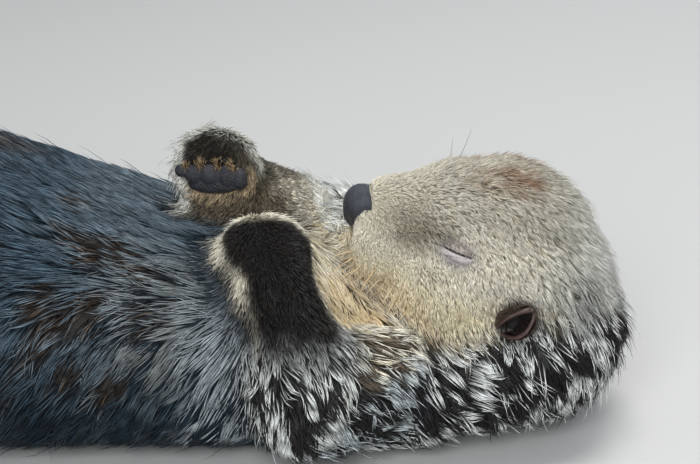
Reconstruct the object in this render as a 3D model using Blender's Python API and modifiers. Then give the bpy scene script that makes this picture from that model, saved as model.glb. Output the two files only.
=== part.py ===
"""A life-size sea otter asleep on its back, chin on its chest, both forepaws held up.

The floor is at Z = 0 and +Z is up. The otter lies along X with its head towards +X, its tail
towards -X, its belly up and its left side towards -Y. The origin is under the middle of its
bounding box, at floor level.

The whole body is first modelled as one smooth form, out to the tips of its coat, and is then
parted into the pieces that a person would name. Every piece keeps a thin gap to its neighbours.
Lengths are in millimetres, in a frame whose X = 0 is at the nose, and MM turns them into metres.
"""

import math

import bmesh
import bpy
from mathutils import Matrix, Vector

MM = 0.001
LEFT, RIGHT = -1, 1       # signs of Y
WORD = {LEFT: "left", RIGHT: "right"}

# Cuts and mesh sizes.
GAP = 0.8                 # between two pieces of the body
SEAT_GAP = 0.35           # round a small piece set into the body
CUT_DEPTH = 3.5           # how far outside a limb or the head its parting cut runs
BODY_TRIANGLES = 2600
CUTTER_TRIANGLES = 200
# What each large piece is simplified to once it is parted.
PIECE_TRIANGLES = {
    "chest": 680, "belly": 300, "rump": 480, "tail": 220, "neck": 380, "head": 620,
    "muzzle": 300, "lower_jaw": 180, "upper_arm": 230, "forearm": 200, "forepaw": 230,
    "thigh": 260, "shin": 190, "hind_flipper": 620,
}
SLICE_SIZE = 900          # side of the box that slices the trunk, larger than the trunk
BALL_FINENESS = 4         # times that a ball's faces are divided
NOSTRIL_FINENESS = 2
MOST_SHELL = 1.5          # how much further than its share a sharp corner may move outwards
LIMB_SIDES = 32
# Each fused form: the voxel it is built from and the rounds of smoothing after it.
TRUNK_MESH = (5, 26)
BODY_MESH = (3.2, 7)
HEAD_MESH = (2.6, 14)
LIMB_CUTTER_MESH = (4, 4)
NOSE_MESH = (1.4, 4)
EAR_MESH = (1.8, 1)
EAR_HOLLOW_MESH = (2.5, 0)
LID_MESH = (1.4, 0)
SLIT_MESH = (0.5, 0)
PAD_MESH = (1.8, 2)
NOSE_TRIANGLES, EAR_TRIANGLES, EAR_HOLLOW_TRIANGLES = 260, 110, 50
LID_TRIANGLES, SLIT_TRIANGLES, PAD_TRIANGLES = 90, 44, 120
SHARP_ANGLE = math.radians(50)

# The trunk and tail: X, sideways shift, half width, underside and top at each station.
TRUNK = (
    (112, 0, 82, 12, 84),
    (80, 0, 94, 3, 92),
    (45, 0, 102, -3, 98),
    (18, 0, 106, -4, 106),
    (-6, 0, 110, -4, 116),
    (-28, 0, 112, -4, 140),
    (-50, 0, 114, -4, 154),
    (-90, 0, 116, -4, 151),
    (-160, 0, 121, -4, 173),
    (-240, 0, 128, -5, 200),
    (-330, 0, 131, -5, 203),
    (-420, 0, 123, -5, 186),
    (-500, 0, 108, -5, 152),
    (-570, 0, 84, -5, 110),
    (-630, 1, 56, -4, 74),
    (-690, 4, 39, -4, 51),
    (-760, 11, 35, -4, 41),
    (-830, 22, 31, -4, 33),
    (-880, 32, 24, -3, 26),
    (-908, 38, 12, 1, 15),
)
TRUNK_POWER = 2.3         # 2 makes an elliptical section, and more a boxier one
TRUNK_SIDES = 40
TRUNK_STEP = 18           # between two rings of the loft

# The head's own frame: forwards along the nose, sideways and towards the crown.
HEAD_CENTRE = Vector((108, 0, 118))
HEAD_TILT = math.radians(15)   # how far the nose points above the level of the feet
# Each mass of the head: its centre and its radii, both as (forwards, sideways, up).
HEAD_MIDDLE = {
    "cranium": ((-2, 0, -8), (76, 77, 63)),
    "crown": ((6, 0, 23), (61, 57, 51)),
    "forehead": ((36, 0, 23), (50, 48, 42)),
    "bridge": ((72, 0, 17), (40, 29, 29)),
    "nose_bed": ((92, 0, 11), (20, 21, 22)),
    "jaw": ((34, 0, -26), (58, 50, 30)),
    "chin": ((76, 0, -27), (29, 27, 18)),
}
HEAD_PAIRED = {
    "cheek": ((14, 37, -16), (60, 39, 42)),
    "brow": ((44, 30, 25), (25, 18, 18)),
    "whisker_pad": ((83, 21, -4), (28, 25, 26)),
}
NAPE = ((115, 0, 72), (82, 90, 71))
JAW_BLOCK = ((84, 0, -45), (110, 130, 50))   # what lies in it is the lower jaw
MUZZLE_START = (66, 0, 0)

# Pieces set into the head, also as (forwards, sideways, up).
NOSE_TIP = (108, 0, 13)
NOSE_SHIELD = ((-1, 0, 2), (12.5, 20.5, 12.5))  # centre from the tip, and radii
NOSE_CREST = ((-10, 0, 4.5), (12, 17.5, 10))
NOSE_LIP = ((0, 0, -4), (-6, 0, -16.5))      # the two ends of the narrow part above the lip
NOSE_LIP_RADII = (10.5, 5.5)
NOSTRIL = ((9, 10.5, -1.5), (6.5, 2.4, 8))
NOSTRIL_SLANT = 0.55
EAR_ROOT = (-4, 0, -13)
EAR_OUT = (-0.475, 0.62, 0.624)
EAR_FACING = (0.5, 0.75, -0.35)
EAR_RADII = (15.5, 8, 14)                      # outwards, through it, along its edge
EAR_STAND = 8                                # how far its middle stands off the head
EAR_HOLLOW_PLACE = (10, 7)                   # outwards and forwards of the root
EAR_HOLLOW_RADII = (11, 6, 8.5)
EYE_PLACE = (42, 0, 17)
LID_LINE = (1, 0, 0.12)                      # the way the shut lids' edge runs
LID_RADII = (7.5, 15, 9.5)                   # outwards, along the slit, across it
LID_DEPTH = 4.5                              # from the skin in to the middle of the lids
SLIT_RADII = (4, 11.5, 0.9)
SLIT_HEIGHT = 8.5                            # from the middle of the lids out to the slit

# Forelimbs. The left elbow lies beside the chest and its paw is on the breast, palm down.
# The right forearm comes over from the far side, with its palm turned to the otter's left.
SHOULDER = {LEFT: (4, -84, 64), RIGHT: (0, 76, 100)}
SHOULDER_RADIUS = 42
ELBOW = {LEFT: (-28, -113, 58), RIGHT: (-48, 86, 116)}
ELBOW_RADIUS = 36
WRIST = {LEFT: (-50, -81, 134), RIGHT: (-73, 14, 164)}
WRIST_RADIUS = 27
PAW_CENTRE = {LEFT: (-57, -58, 148), RIGHT: (-91, -5, 187)}
PAW_FINGERS = {LEFT: (-0.10, 0.93, 0.33), RIGHT: (-0.10, -0.10, 0.98)}
PAW_PALM = {LEFT: (-0.10, 0.33, -0.94), RIGHT: (-0.16, -0.97, -0.10)}
PAW_RADII = (32, 21, 34)  # across the palm, palm to back, heel to fingertips
PAD_SINK = 3.5            # from the palm's surface in to the middle of the pad
PAD_SHIFT = 1.5           # how far the pad sits from the middle of the paw towards the fingers
PAD_HEEL_RADII = (24, 8, 5)
PAD_HEEL_SHIFT = 3
PAD_LOBES = (-15, 0, 15)  # places across the palm
PAD_LOBE_RADII = (9.5, 9, 5.5)
PAD_LOBE_SHIFT = 4

# Hind limbs, given for the right side. Toes are listed from the inner to the outer one.
HIP = (-505, 66, 74)
HIP_RADIUS = 66
KNEE = (-582, 102, 80)
KNEE_RADIUS = 46
ANKLE = (-672, 90, 50)
ANKLE_RADIUS = 28
FLIPPER_LIFT = math.radians(46)
FLIPPER_SPLAY = math.radians(7)
TOE_REACH = (150, 170, 186, 198, 206)   # from the ankle to each toe's tip
TOE_FAN = (-13, -6.5, 0.5, 8, 16)       # degrees that each toe turns outwards
TOE_SPACING = 9.5
TOE_ROOT = 24                           # from the ankle to where the toes start
TOE_RADII = (10, 7.5)                   # at the root and near the tip
WEB_SHARE = 0.93                        # how far the web reaches along the toes
WEB_THICKNESS = 8
SOLE_RADII = (56, 30, 18)
SOLE_REACH = 34                         # from the ankle to the middle of the sole
FLIPPER_START = 8                       # from the ankle to the cut between shin and flipper
CLAW_RADII = (2.8, 0.9)                 # at the root and at the point
CLAW_LENGTH = 12
CLAW_REACH = 5.5                        # past the centre of the toe's tip
CLAW_RISE = 2                           # towards the upper side
CLAW_SIDES = 6

# Planes across the trunk, as X.
NECK_CUT, CHEST_CUT, BELLY_CUT, TAIL_CUT = 58, -165, -430, -636
# The block under the floor: it presses the back, the nape and the tail flat.
FLOOR_BLOCK = ((-360, 0, -100), (1400, 800, 200))

# Material colours and roughness.
FINISHES = {
    "pale_fur": ((0.62, 0.56, 0.44), 0.8),
    "grey_fur": ((0.20, 0.22, 0.23), 0.6),
    "dark_fur": ((0.055, 0.042, 0.032), 0.7),
    "nose_leather": ((0.035, 0.036, 0.045), 0.45),
    "pad_leather": ((0.045, 0.040, 0.040), 0.55),
    "ear_fur": ((0.16, 0.10, 0.075), 0.7),
    "claw_horn": ((0.06, 0.05, 0.045), 0.35),
}
FINISH_OF = {
    "head": "pale_fur", "muzzle": "pale_fur", "lower_jaw": "pale_fur", "neck": "pale_fur",
    "eye": "pale_fur", "forepaw": "dark_fur", "chest": "grey_fur", "belly": "grey_fur",
    "rump": "dark_fur", "tail": "dark_fur", "upper_arm": "grey_fur", "forearm": "dark_fur",
    "thigh": "dark_fur", "shin": "dark_fur", "hind_flipper": "dark_fur",
    "nose": "nose_leather", "ear": "ear_fur", "palm_pad": "pad_leather", "hind_claw": "claw_horn",
}


# ---------------------------------------------------------------- frames and places

FORWARDS = Vector((-math.cos(HEAD_TILT), 0, math.sin(HEAD_TILT)))
SIDEWAYS = Vector((0, 1, 0))
CROWNWARDS = Vector((math.sin(HEAD_TILT), 0, math.cos(HEAD_TILT)))
HEAD_AXES = (FORWARDS, SIDEWAYS, CROWNWARDS)
ROW_AXES = (Vector((1, 0, 0)), Vector((0, 1, 0)), Vector((0, 0, 1)))


def on_side(point, side):
    """A point or direction given for the right side, on this side."""
    return Vector((point[0], point[1] * side, point[2]))


def head_way(forwards, sideways, up):
    """A direction or step given in the head's own frame."""
    return forwards * FORWARDS + sideways * SIDEWAYS + up * CROWNWARDS


def on_head(forwards, sideways, up):
    return HEAD_CENTRE + head_way(forwards, sideways, up)


def axes_from(main, second):
    """Three directions at right angles: main, the part of second across it, and their product."""
    main = Vector(main).normalized()
    second = Vector(second)
    second = (second - second.dot(main) * main).normalized()
    return main, second, main.cross(second)


def paw_axes(side):
    """Across the palm, out of the palm and towards the fingertips."""
    fingers, palm, across = axes_from(PAW_FINGERS[side], PAW_PALM[side])
    return across, palm, fingers


def flipper_axes(side):
    """Towards the toes, outwards and out of the sole."""
    level, rise = math.cos(FLIPPER_LIFT), math.sin(FLIPPER_LIFT)
    ahead = (-level * math.cos(FLIPPER_SPLAY), side * level * math.sin(FLIPPER_SPLAY), rise)
    along, outwards, across = axes_from(ahead, (0, side, 0))
    return along, outwards, across * side


def bend_normal(before, bend, after):
    """The way that the plane halving the angle at a bent joint faces, towards what comes after."""
    return (after - bend).normalized() - (before - bend).normalized()


def toe_line(side, toe):
    """Where a toe starts, and the centre of its tip."""
    along, outwards, _ = flipper_axes(side)
    turn = math.radians(TOE_FAN[toe])
    heading = math.cos(turn) * along + math.sin(turn) * outwards
    ankle = on_side(ANKLE, side) + (toe - 2) * TOE_SPACING * outwards
    return ankle + TOE_ROOT * along, ankle + TOE_REACH[toe] * heading


# ---------------------------------------------------------------- shapes

def frame_matrix(centre, axes):
    """The matrix of an object at centre whose own X, Y and Z lie along axes."""
    turn = Matrix(axes).transposed().to_4x4()
    return Matrix.Translation(Vector(centre) * MM) @ turn


def add_ball(form, centre, radii, axes=ROW_AXES, fineness=BALL_FINENESS):
    scale = Matrix.Diagonal((*(Vector(radii) * MM), 1))
    matrix = frame_matrix(centre, axes) @ scale
    bmesh.ops.create_icosphere(form, subdivisions=fineness, radius=1, matrix=matrix)


def add_limb(form, start, end, start_radius, end_radius):
    """A round limb that tapers from start to end, with round ends."""
    start, end = Vector(start), Vector(end)
    turn = (end - start).to_track_quat("Z", "Y").to_matrix().to_4x4()
    bmesh.ops.create_cone(
        form,
        cap_ends=True,
        segments=LIMB_SIDES,
        radius1=start_radius * MM,
        radius2=end_radius * MM,
        depth=(end - start).length * MM,
        matrix=Matrix.Translation((start + end) / 2 * MM) @ turn,
    )
    add_ball(form, start, (start_radius,) * 3)
    add_ball(form, end, (end_radius,) * 3)


def add_hull(form, points):
    verts = [form.verts.new(point * MM) for point in points]
    bmesh.ops.convex_hull(form, input=verts)


def trunk_section(x):
    """The section at x, read between the two stations beside it."""
    for near, far in zip(TRUNK, TRUNK[1:]):
        if near[0] >= x >= far[0]:
            share = (near[0] - x) / (near[0] - far[0])
            return [a + (b - a) * share for a, b in zip(near, far)]
    return TRUNK[-1]


def trunk_ring(form, x):
    _, shift, half_width, low, high = trunk_section(x)
    ring = []
    for i in range(TRUNK_SIDES):
        angle = math.tau * i / TRUNK_SIDES
        across, up = math.cos(angle), math.sin(angle)
        reach = (abs(across) ** TRUNK_POWER + abs(up) ** TRUNK_POWER) ** (-1 / TRUNK_POWER)
        y = shift + half_width * across * reach
        z = (low + high) / 2 + (high - low) / 2 * up * reach
        ring.append(form.verts.new(Vector((x, y, z)) * MM))
    return ring


def add_trunk(form):
    """A loft through the stations, from the shoulders to the tip of the tail."""
    start, end = TRUNK[0][0], TRUNK[-1][0]
    count = round((start - end) / TRUNK_STEP)
    rings = [trunk_ring(form, start + (end - start) * i / count) for i in range(count + 1)]
    for near, far in zip(rings, rings[1:]):
        for i in range(TRUNK_SIDES):
            j = (i + 1) % TRUNK_SIDES
            form.faces.new((near[i], near[j], far[j], far[i]))
    form.faces.new(reversed(rings[0]))
    form.faces.new(rings[-1])


def add_head(form):
    for centre, radii in HEAD_MIDDLE.values():
        add_ball(form, on_head(*centre), radii, HEAD_AXES)
    for side in (LEFT, RIGHT):
        for centre, radii in HEAD_PAIRED.values():
            add_ball(form, on_head(*on_side(centre, side)), radii, HEAD_AXES)


def add_upper_arm(form, side):
    add_limb(form, SHOULDER[side], ELBOW[side], SHOULDER_RADIUS, ELBOW_RADIUS)


def add_forearm(form, side):
    add_limb(form, ELBOW[side], WRIST[side], ELBOW_RADIUS, WRIST_RADIUS)
    add_ball(form, PAW_CENTRE[side], PAW_RADII, paw_axes(side))


def add_thigh(form, side):
    add_limb(form, on_side(HIP, side), on_side(KNEE, side), HIP_RADIUS, KNEE_RADIUS)


def add_shin(form, side):
    add_limb(form, on_side(KNEE, side), on_side(ANKLE, side), KNEE_RADIUS, ANKLE_RADIUS)


def add_flipper(form, side):
    """Five toes, the outer one longest, joined by a web up to near their tips."""
    along, outwards, sole = flipper_axes(side)
    middle = on_side(ANKLE, side) + SOLE_REACH * along
    add_ball(form, middle, SOLE_RADII, (along, outwards, along.cross(outwards)))
    toes = [toe_line(side, toe) for toe in range(len(TOE_REACH))]
    for root, tip in toes:
        add_limb(form, root, tip, *TOE_RADII)
    for (root, tip), (next_root, next_tip) in zip(toes, toes[1:]):
        edge = (root, root.lerp(tip, WEB_SHARE), next_root, next_root.lerp(next_tip, WEB_SHARE))
        faces = (WEB_THICKNESS / 2 * sole, -WEB_THICKNESS / 2 * sole)
        add_hull(form, [corner + face for corner in edge for face in faces])


# ---------------------------------------------------------------- meshes

def object_of(form, name, collection):
    mesh = bpy.data.meshes.new(name)
    form.to_mesh(mesh)
    form.free()
    obj = bpy.data.objects.new(name, mesh)
    collection.objects.link(obj)
    return obj


def copy_of(obj, name, collection):
    copy = bpy.data.objects.new(name, obj.data.copy())
    collection.objects.link(copy)
    return copy


def apply_modifiers(obj):
    evaluated = obj.evaluated_get(bpy.context.evaluated_depsgraph_get())
    mesh = bpy.data.meshes.new_from_object(evaluated)
    obj.modifiers.clear()
    obj.data = mesh
    return obj


def simplify(obj, triangles):
    """Brings the mesh down to about this many triangles, most of them where it bends."""
    obj.data.calc_loop_triangles()
    modifier = obj.modifiers.new("Simplify", "DECIMATE")
    modifier.ratio = min(1, triangles / len(obj.data.loop_triangles))
    return apply_modifiers(obj)


def fuse(form, name, fineness, collection, triangles=None):
    """One smooth closed surface round the overlapping shapes in form."""
    voxel, smoothing = fineness
    obj = object_of(form, name, collection)
    remesh = obj.modifiers.new("Fuse", "REMESH")
    remesh.mode = "VOXEL"
    remesh.voxel_size = voxel * MM
    soften = obj.modifiers.new("Soften", "SMOOTH")
    soften.iterations = smoothing
    apply_modifiers(obj)
    return simplify(obj, triangles) if triangles else obj


def fuse_one(adder, name, fineness, collection, triangles=None):
    form = bmesh.new()
    adder(form)
    return fuse(form, name, fineness, collection, triangles)


def surface_point(obj, inside, direction):
    """Where a line from a point inside the object comes out of it, and the way the surface faces."""
    hit, place, normal, _ = obj.ray_cast(Vector(inside) * MM, Vector(direction).normalized())
    return (place / MM, normal) if hit else (Vector(inside), Vector(direction))


def thicker(obj, by, collection):
    """A copy with its surface moved outwards by this many millimetres."""
    copy = copy_of(obj, obj.name + ".thicker", collection)
    form = bmesh.new()
    form.from_mesh(copy.data)
    bmesh.ops.recalc_face_normals(form, faces=form.faces)
    form.normal_update()
    moves = [vertex.normal * min(vertex.calc_shell_factor(), MOST_SHELL) * by * MM for vertex in form.verts]
    for vertex, move in zip(form.verts, moves):
        vertex.co += move
    form.to_mesh(copy.data)
    form.free()
    return copy


def boolean(obj, cutter, operation):
    modifier = obj.modifiers.new(operation.title(), "BOOLEAN")
    modifier.object = cutter
    modifier.operation = operation
    modifier.solver = "EXACT"
    return apply_modifiers(obj)


def connected(start):
    """Every vertex that edges join to start."""
    group, front = {start}, [start]
    while front:
        for edge in front.pop().link_edges:
            for vertex in edge.verts:
                if vertex not in group:
                    group.add(vertex)
                    front.append(vertex)
    return group


def keep_largest(obj):
    """Drops the crumbs that a cut can leave beside a piece."""
    form = bmesh.new()
    form.from_mesh(obj.data)
    bmesh.ops.triangulate(form, faces=form.faces)
    left, groups = set(form.verts), []
    while left:
        groups.append(connected(next(iter(left))))
        left -= groups[-1]
    largest = max(groups, key=len)
    crumbs = [vertex for vertex in form.verts if vertex not in largest]
    bmesh.ops.delete(form, geom=crumbs, context="VERTS")
    form.to_mesh(obj.data)
    form.free()
    return obj


def part_off(host, cutter, name, parts, helpers):
    """Makes a new piece of what lies inside cutter, with a gap between it and host."""
    piece = copy_of(host, name, parts)
    boolean(piece, cutter, "INTERSECT")
    boolean(host, thicker(cutter, GAP, helpers), "DIFFERENCE")
    keep_largest(piece)
    keep_largest(host)
    return piece


def seat(piece, helpers, hosts):
    """Cuts room for a small piece out of what it is set into or lies against."""
    room = thicker(piece, SEAT_GAP, helpers)
    for host in hosts:
        boolean(host, room, "DIFFERENCE")
        keep_largest(host)


def block(centre, size, axes, name, helpers):
    form = bmesh.new()
    scale = Matrix.Diagonal((*(Vector(size) * MM), 1))
    bmesh.ops.create_cube(form, size=1, matrix=frame_matrix(centre, axes) @ scale)
    bmesh.ops.recalc_face_normals(form, faces=form.faces)
    return object_of(form, name, helpers)


def slice_off(host, point, normal, name, parts, helpers):
    """Makes a new piece of what lies ahead of a plane, with a gap between it and host."""
    normal = Vector(normal).normalized()
    axes = axes_from(normal, normal.orthogonal())
    piece = copy_of(host, name, parts)
    for obj, operation, shift in ((piece, "INTERSECT", GAP / 2), (host, "DIFFERENCE", -GAP / 2)):
        middle = Vector(point) + normal * (SLICE_SIZE / 2 + shift)
        ahead = block(middle, (SLICE_SIZE,) * 3, axes, f"ahead_of_{name}", helpers)
        boolean(obj, ahead, operation)
        keep_largest(obj)
    return piece


# ---------------------------------------------------------------- small pieces

def make_nose(parts, helpers, hosts):
    """The bare nose pad: broad above and narrow at the lip, with two slanting nostrils."""
    tip = on_head(*NOSE_TIP)
    form = bmesh.new()
    for centre, radii in (NOSE_SHIELD, NOSE_CREST):
        add_ball(form, tip + head_way(*centre), radii, HEAD_AXES)
    start, end = (tip + head_way(*place) for place in NOSE_LIP)
    add_limb(form, start, end, *NOSE_LIP_RADII)
    pad = fuse(form, "nose", NOSE_MESH, parts, NOSE_TRIANGLES)
    seat(pad, helpers, hosts)
    place, radii = NOSTRIL
    for side in (LEFT, RIGHT):
        slant = side * SIDEWAYS + NOSTRIL_SLANT * CROWNWARDS
        form = bmesh.new()
        opening = tip + head_way(*on_side(place, side))
        add_ball(form, opening, radii, axes_from(slant, CROWNWARDS), NOSTRIL_FINENESS)
        boolean(pad, object_of(form, f"nostril_{WORD[side]}", helpers), "DIFFERENCE")
    keep_largest(pad)


def make_ear(side, head, parts, helpers, hosts):
    """A small rolled ear, low on the side of the head, its hollow facing forwards."""
    root, _ = surface_point(head, on_head(*EAR_ROOT), side * SIDEWAYS)
    out, thin, broad = axes_from(head_way(*on_side(EAR_OUT, side)), head_way(*EAR_FACING))
    form = bmesh.new()
    add_ball(form, root + EAR_STAND * out, EAR_RADII, (out, thin, broad))
    ear = fuse(form, f"ear_{WORD[side]}", EAR_MESH, parts, EAR_TRIANGLES)
    seat(ear, helpers, hosts)
    form = bmesh.new()
    outwards, forwards = EAR_HOLLOW_PLACE
    add_ball(form, root + outwards * out + forwards * thin, EAR_HOLLOW_RADII, (out, thin, broad))
    name = f"ear_hollow_{WORD[side]}"
    hollow = fuse(form, name, EAR_HOLLOW_MESH, helpers, EAR_HOLLOW_TRIANGLES)
    boolean(ear, hollow, "DIFFERENCE")
    keep_largest(ear)


def make_eye(side, head, parts, helpers, hosts):
    """Both lids of a shut eye as one low dome, with the slit between them pressed in."""
    skin, facing = surface_point(head, on_head(*EYE_PLACE), side * SIDEWAYS)
    out, along, across = axes_from(facing, head_way(*LID_LINE))
    centre = skin - LID_DEPTH * out
    form = bmesh.new()
    add_ball(form, centre, LID_RADII, (out, along, across))
    lids = fuse(form, f"eye_{WORD[side]}", LID_MESH, parts, LID_TRIANGLES)
    seat(lids, helpers, hosts)
    form = bmesh.new()
    add_ball(form, centre + SLIT_HEIGHT * out, SLIT_RADII, (out, along, across))
    slit = fuse(form, f"slit_{WORD[side]}", SLIT_MESH, helpers, SLIT_TRIANGLES)
    boolean(lids, slit, "DIFFERENCE")
    keep_largest(lids)


def make_palm_pad(side, parts, helpers, hosts):
    """The bare pad of a forepaw: a broad heel with three blunt lobes towards the fingers."""
    across, palm, fingers = paw_axes(side)
    centre = Vector(PAW_CENTRE[side]) + palm * (PAW_RADII[1] - PAD_SINK) + fingers * PAD_SHIFT
    axes = (across, fingers, across.cross(fingers))
    form = bmesh.new()
    add_ball(form, centre - PAD_HEEL_SHIFT * fingers, PAD_HEEL_RADII, axes)
    for shift in PAD_LOBES:
        add_ball(form, centre + shift * across + PAD_LOBE_SHIFT * fingers, PAD_LOBE_RADII, axes)
    pad = fuse(form, f"palm_pad_{WORD[side]}", PAD_MESH, parts, PAD_TRIANGLES)
    seat(pad, helpers, hosts)


def make_hind_claw(side, toe, parts, helpers, hosts):
    """A short blunt claw, half sunk in the upper side of a toe's tip."""
    start, tip = toe_line(side, toe)
    heading = (tip - start).normalized()
    _, _, sole = flipper_axes(side)
    middle = tip + CLAW_REACH * heading - CLAW_RISE * sole
    form = bmesh.new()
    bmesh.ops.create_cone(
        form,
        cap_ends=True,
        segments=CLAW_SIDES,
        radius1=CLAW_RADII[0] * MM,
        radius2=CLAW_RADII[1] * MM,
        depth=CLAW_LENGTH * MM,
        matrix=frame_matrix(middle, axes_from(heading, sole)[1:] + (heading,)),
    )
    bmesh.ops.recalc_face_normals(form, faces=form.faces)
    seat(object_of(form, f"hind_claw_{WORD[side]}_{toe + 1}", parts), helpers, hosts)


# ---------------------------------------------------------------- the otter

def fuse_body(head, parts):
    """The trunk with the thick parts of the limbs, then the head, forearms and hind feet."""
    form = bmesh.new()
    add_trunk(form)
    add_ball(form, *NAPE)
    for side in (LEFT, RIGHT):
        add_upper_arm(form, side)
        add_thigh(form, side)
    trunk = fuse(form, "trunk", TRUNK_MESH, parts)
    form = bmesh.new()
    form.from_mesh(trunk.data)
    bpy.data.objects.remove(trunk)
    form.from_mesh(head.data)
    for side in (LEFT, RIGHT):
        add_forearm(form, side)
        add_shin(form, side)
        add_flipper(form, side)
    return fuse(form, "chest", BODY_MESH, parts, BODY_TRIANGLES)


def part_forelimb(body, side, parts, helpers):
    def add_arm(form):
        add_upper_arm(form, side)
        add_forearm(form, side)

    word = WORD[side]
    arm = fuse_one(add_arm, f"arm_cutter_{word}", LIMB_CUTTER_MESH, helpers, CUTTER_TRIANGLES)
    upper = part_off(body, thicker(arm, CUT_DEPTH, helpers), f"upper_arm_{word}", parts, helpers)
    shoulder, elbow = Vector(SHOULDER[side]), Vector(ELBOW[side])
    wrist, paw = Vector(WRIST[side]), Vector(PAW_CENTRE[side])
    across = bend_normal(shoulder, elbow, wrist)
    forearm = slice_off(upper, elbow, across, f"forearm_{word}", parts, helpers)
    slice_off(forearm, wrist, paw - wrist, f"forepaw_{word}", parts, helpers)


def part_hind_limb(body, side, parts, helpers):
    def add_leg(form):
        add_thigh(form, side)
        add_shin(form, side)
        add_flipper(form, side)

    word = WORD[side]
    leg = fuse_one(add_leg, f"leg_cutter_{word}", LIMB_CUTTER_MESH, helpers, CUTTER_TRIANGLES)
    thigh = part_off(body, thicker(leg, CUT_DEPTH, helpers), f"thigh_{word}", parts, helpers)
    hip, knee, ankle = on_side(HIP, side), on_side(KNEE, side), on_side(ANKLE, side)
    along = flipper_axes(side)[0]
    across = bend_normal(hip, knee, ankle)
    shin = slice_off(thigh, knee, across, f"shin_{word}", parts, helpers)
    start = ankle + FLIPPER_START * along
    slice_off(shin, start, along, f"hind_flipper_{word}", parts, helpers)


def part_head(body, whole_head, parts, helpers):
    cutter = thicker(whole_head, CUT_DEPTH, helpers)
    simplify(cutter, CUTTER_TRIANGLES)
    head = part_off(body, cutter, "head", parts, helpers)
    centre, size = JAW_BLOCK
    jaw_block = block(on_head(*centre), size, HEAD_AXES, "jaw_block", helpers)
    part_off(head, jaw_block, "lower_jaw", parts, helpers)
    slice_off(head, on_head(*MUZZLE_START), FORWARDS, "muzzle", parts, helpers)


def part_trunk(body, parts, helpers):
    slice_off(body, (NECK_CUT, 0, 0), (1, 0, 0), "neck", parts, helpers)
    belly = slice_off(body, (CHEST_CUT, 0, 0), (-1, 0, 0), "belly", parts, helpers)
    rump = slice_off(belly, (BELLY_CUT, 0, 0), (-1, 0, 0), "rump", parts, helpers)
    slice_off(rump, (TAIL_CUT, 0, 0), (-1, 0, 0), "tail", parts, helpers)


def kind_of(name, table):
    """The longest key of table that a piece's name starts with."""
    return max((key for key in table if name.startswith(key)), key=len)


def add_small_pieces(whole_head, parts, helpers):
    piece = parts.objects
    make_nose(parts, helpers, (piece["muzzle"],))
    for side, word in WORD.items():
        make_ear(side, whole_head, parts, helpers, (piece["head"], piece["neck"]))
        make_eye(side, whole_head, parts, helpers, (piece["head"],))
        make_palm_pad(side, parts, helpers, (piece[f"forepaw_{word}"], piece["chest"]))
        for toe in range(len(TOE_REACH)):
            make_hind_claw(side, toe, parts, helpers, (piece[f"hind_flipper_{word}"],))


def material(name):
    found = bpy.data.materials.get(name)
    if found:
        return found
    colour, roughness = FINISHES[name]
    found = bpy.data.materials.new(name)
    found.use_nodes = True
    shader = found.node_tree.nodes["Principled BSDF"]
    shader.inputs["Base Color"].default_value = (*colour, 1)
    shader.inputs["Roughness"].default_value = roughness
    shader.inputs["Metallic"].default_value = 0
    return found


def finish(parts):
    """Gives each piece its material and smooth shading, and sets the origin under the middle."""
    for obj in parts.objects:
        obj.data.materials.clear()
        obj.data.materials.append(material(FINISH_OF[kind_of(obj.name, FINISH_OF)]))
        obj.data.shade_smooth()
        obj.data.set_sharp_from_angle(angle=SHARP_ANGLE)
    corners = [vertex.co for obj in parts.objects for vertex in obj.data.vertices]
    low = Vector([min(corner[i] for corner in corners) for i in range(3)])
    high = Vector([max(corner[i] for corner in corners) for i in range(3)])
    middle = (low + high) / 2
    for obj in parts.objects:
        obj.data.transform(Matrix.Translation((-middle.x, -middle.y, -low.z)))


def build():
    for obj in list(bpy.data.objects):
        bpy.data.objects.remove(obj)
    parts = bpy.data.collections.new("sea_otter")
    helpers = bpy.data.collections.new("cutters")
    bpy.context.scene.collection.children.link(parts)
    bpy.context.scene.collection.children.link(helpers)

    whole_head = fuse_one(add_head, "whole_head", HEAD_MESH, helpers)
    body = fuse_body(whole_head, parts)
    centre, size = FLOOR_BLOCK
    boolean(body, block(centre, size, ROW_AXES, "floor_block", helpers), "DIFFERENCE")
    keep_largest(body)

    part_head(body, whole_head, parts, helpers)
    for side in (LEFT, RIGHT):
        part_forelimb(body, side, parts, helpers)
        part_hind_limb(body, side, parts, helpers)
    part_trunk(body, parts, helpers)
    for obj in parts.objects:
        simplify(obj, PIECE_TRIANGLES[kind_of(obj.name, PIECE_TRIANGLES)])
    add_small_pieces(whole_head, parts, helpers)

    for helper in helpers.objects:
        helper.hide_render = True
        helper.display_type = "WIRE"
    finish(parts)


build()
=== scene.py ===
"""The looks of a life-size sea otter asleep on its back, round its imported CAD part.

One skin replaces the nodes of flesh. It lies inside them by the depth of the coat, and the coat
grows from it as closed strands of solid mesh that follow the lie of the fur and gather into the
pointed locks of a wet otter. Skin and coat take their markings from the same functions. The nose,
the shut lids, the ears, the palm pads, the claws and the whiskers are pieces of their own.

Lengths are in metres, in the row's frame, unless a name or a comment says millimetres.
"""

import math

import bmesh
import bpy
import numpy as np
from mathutils import Matrix, Vector, noise
from mathutils.bvhtree import BVHTree
from mathutils.kdtree import KDTree


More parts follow.
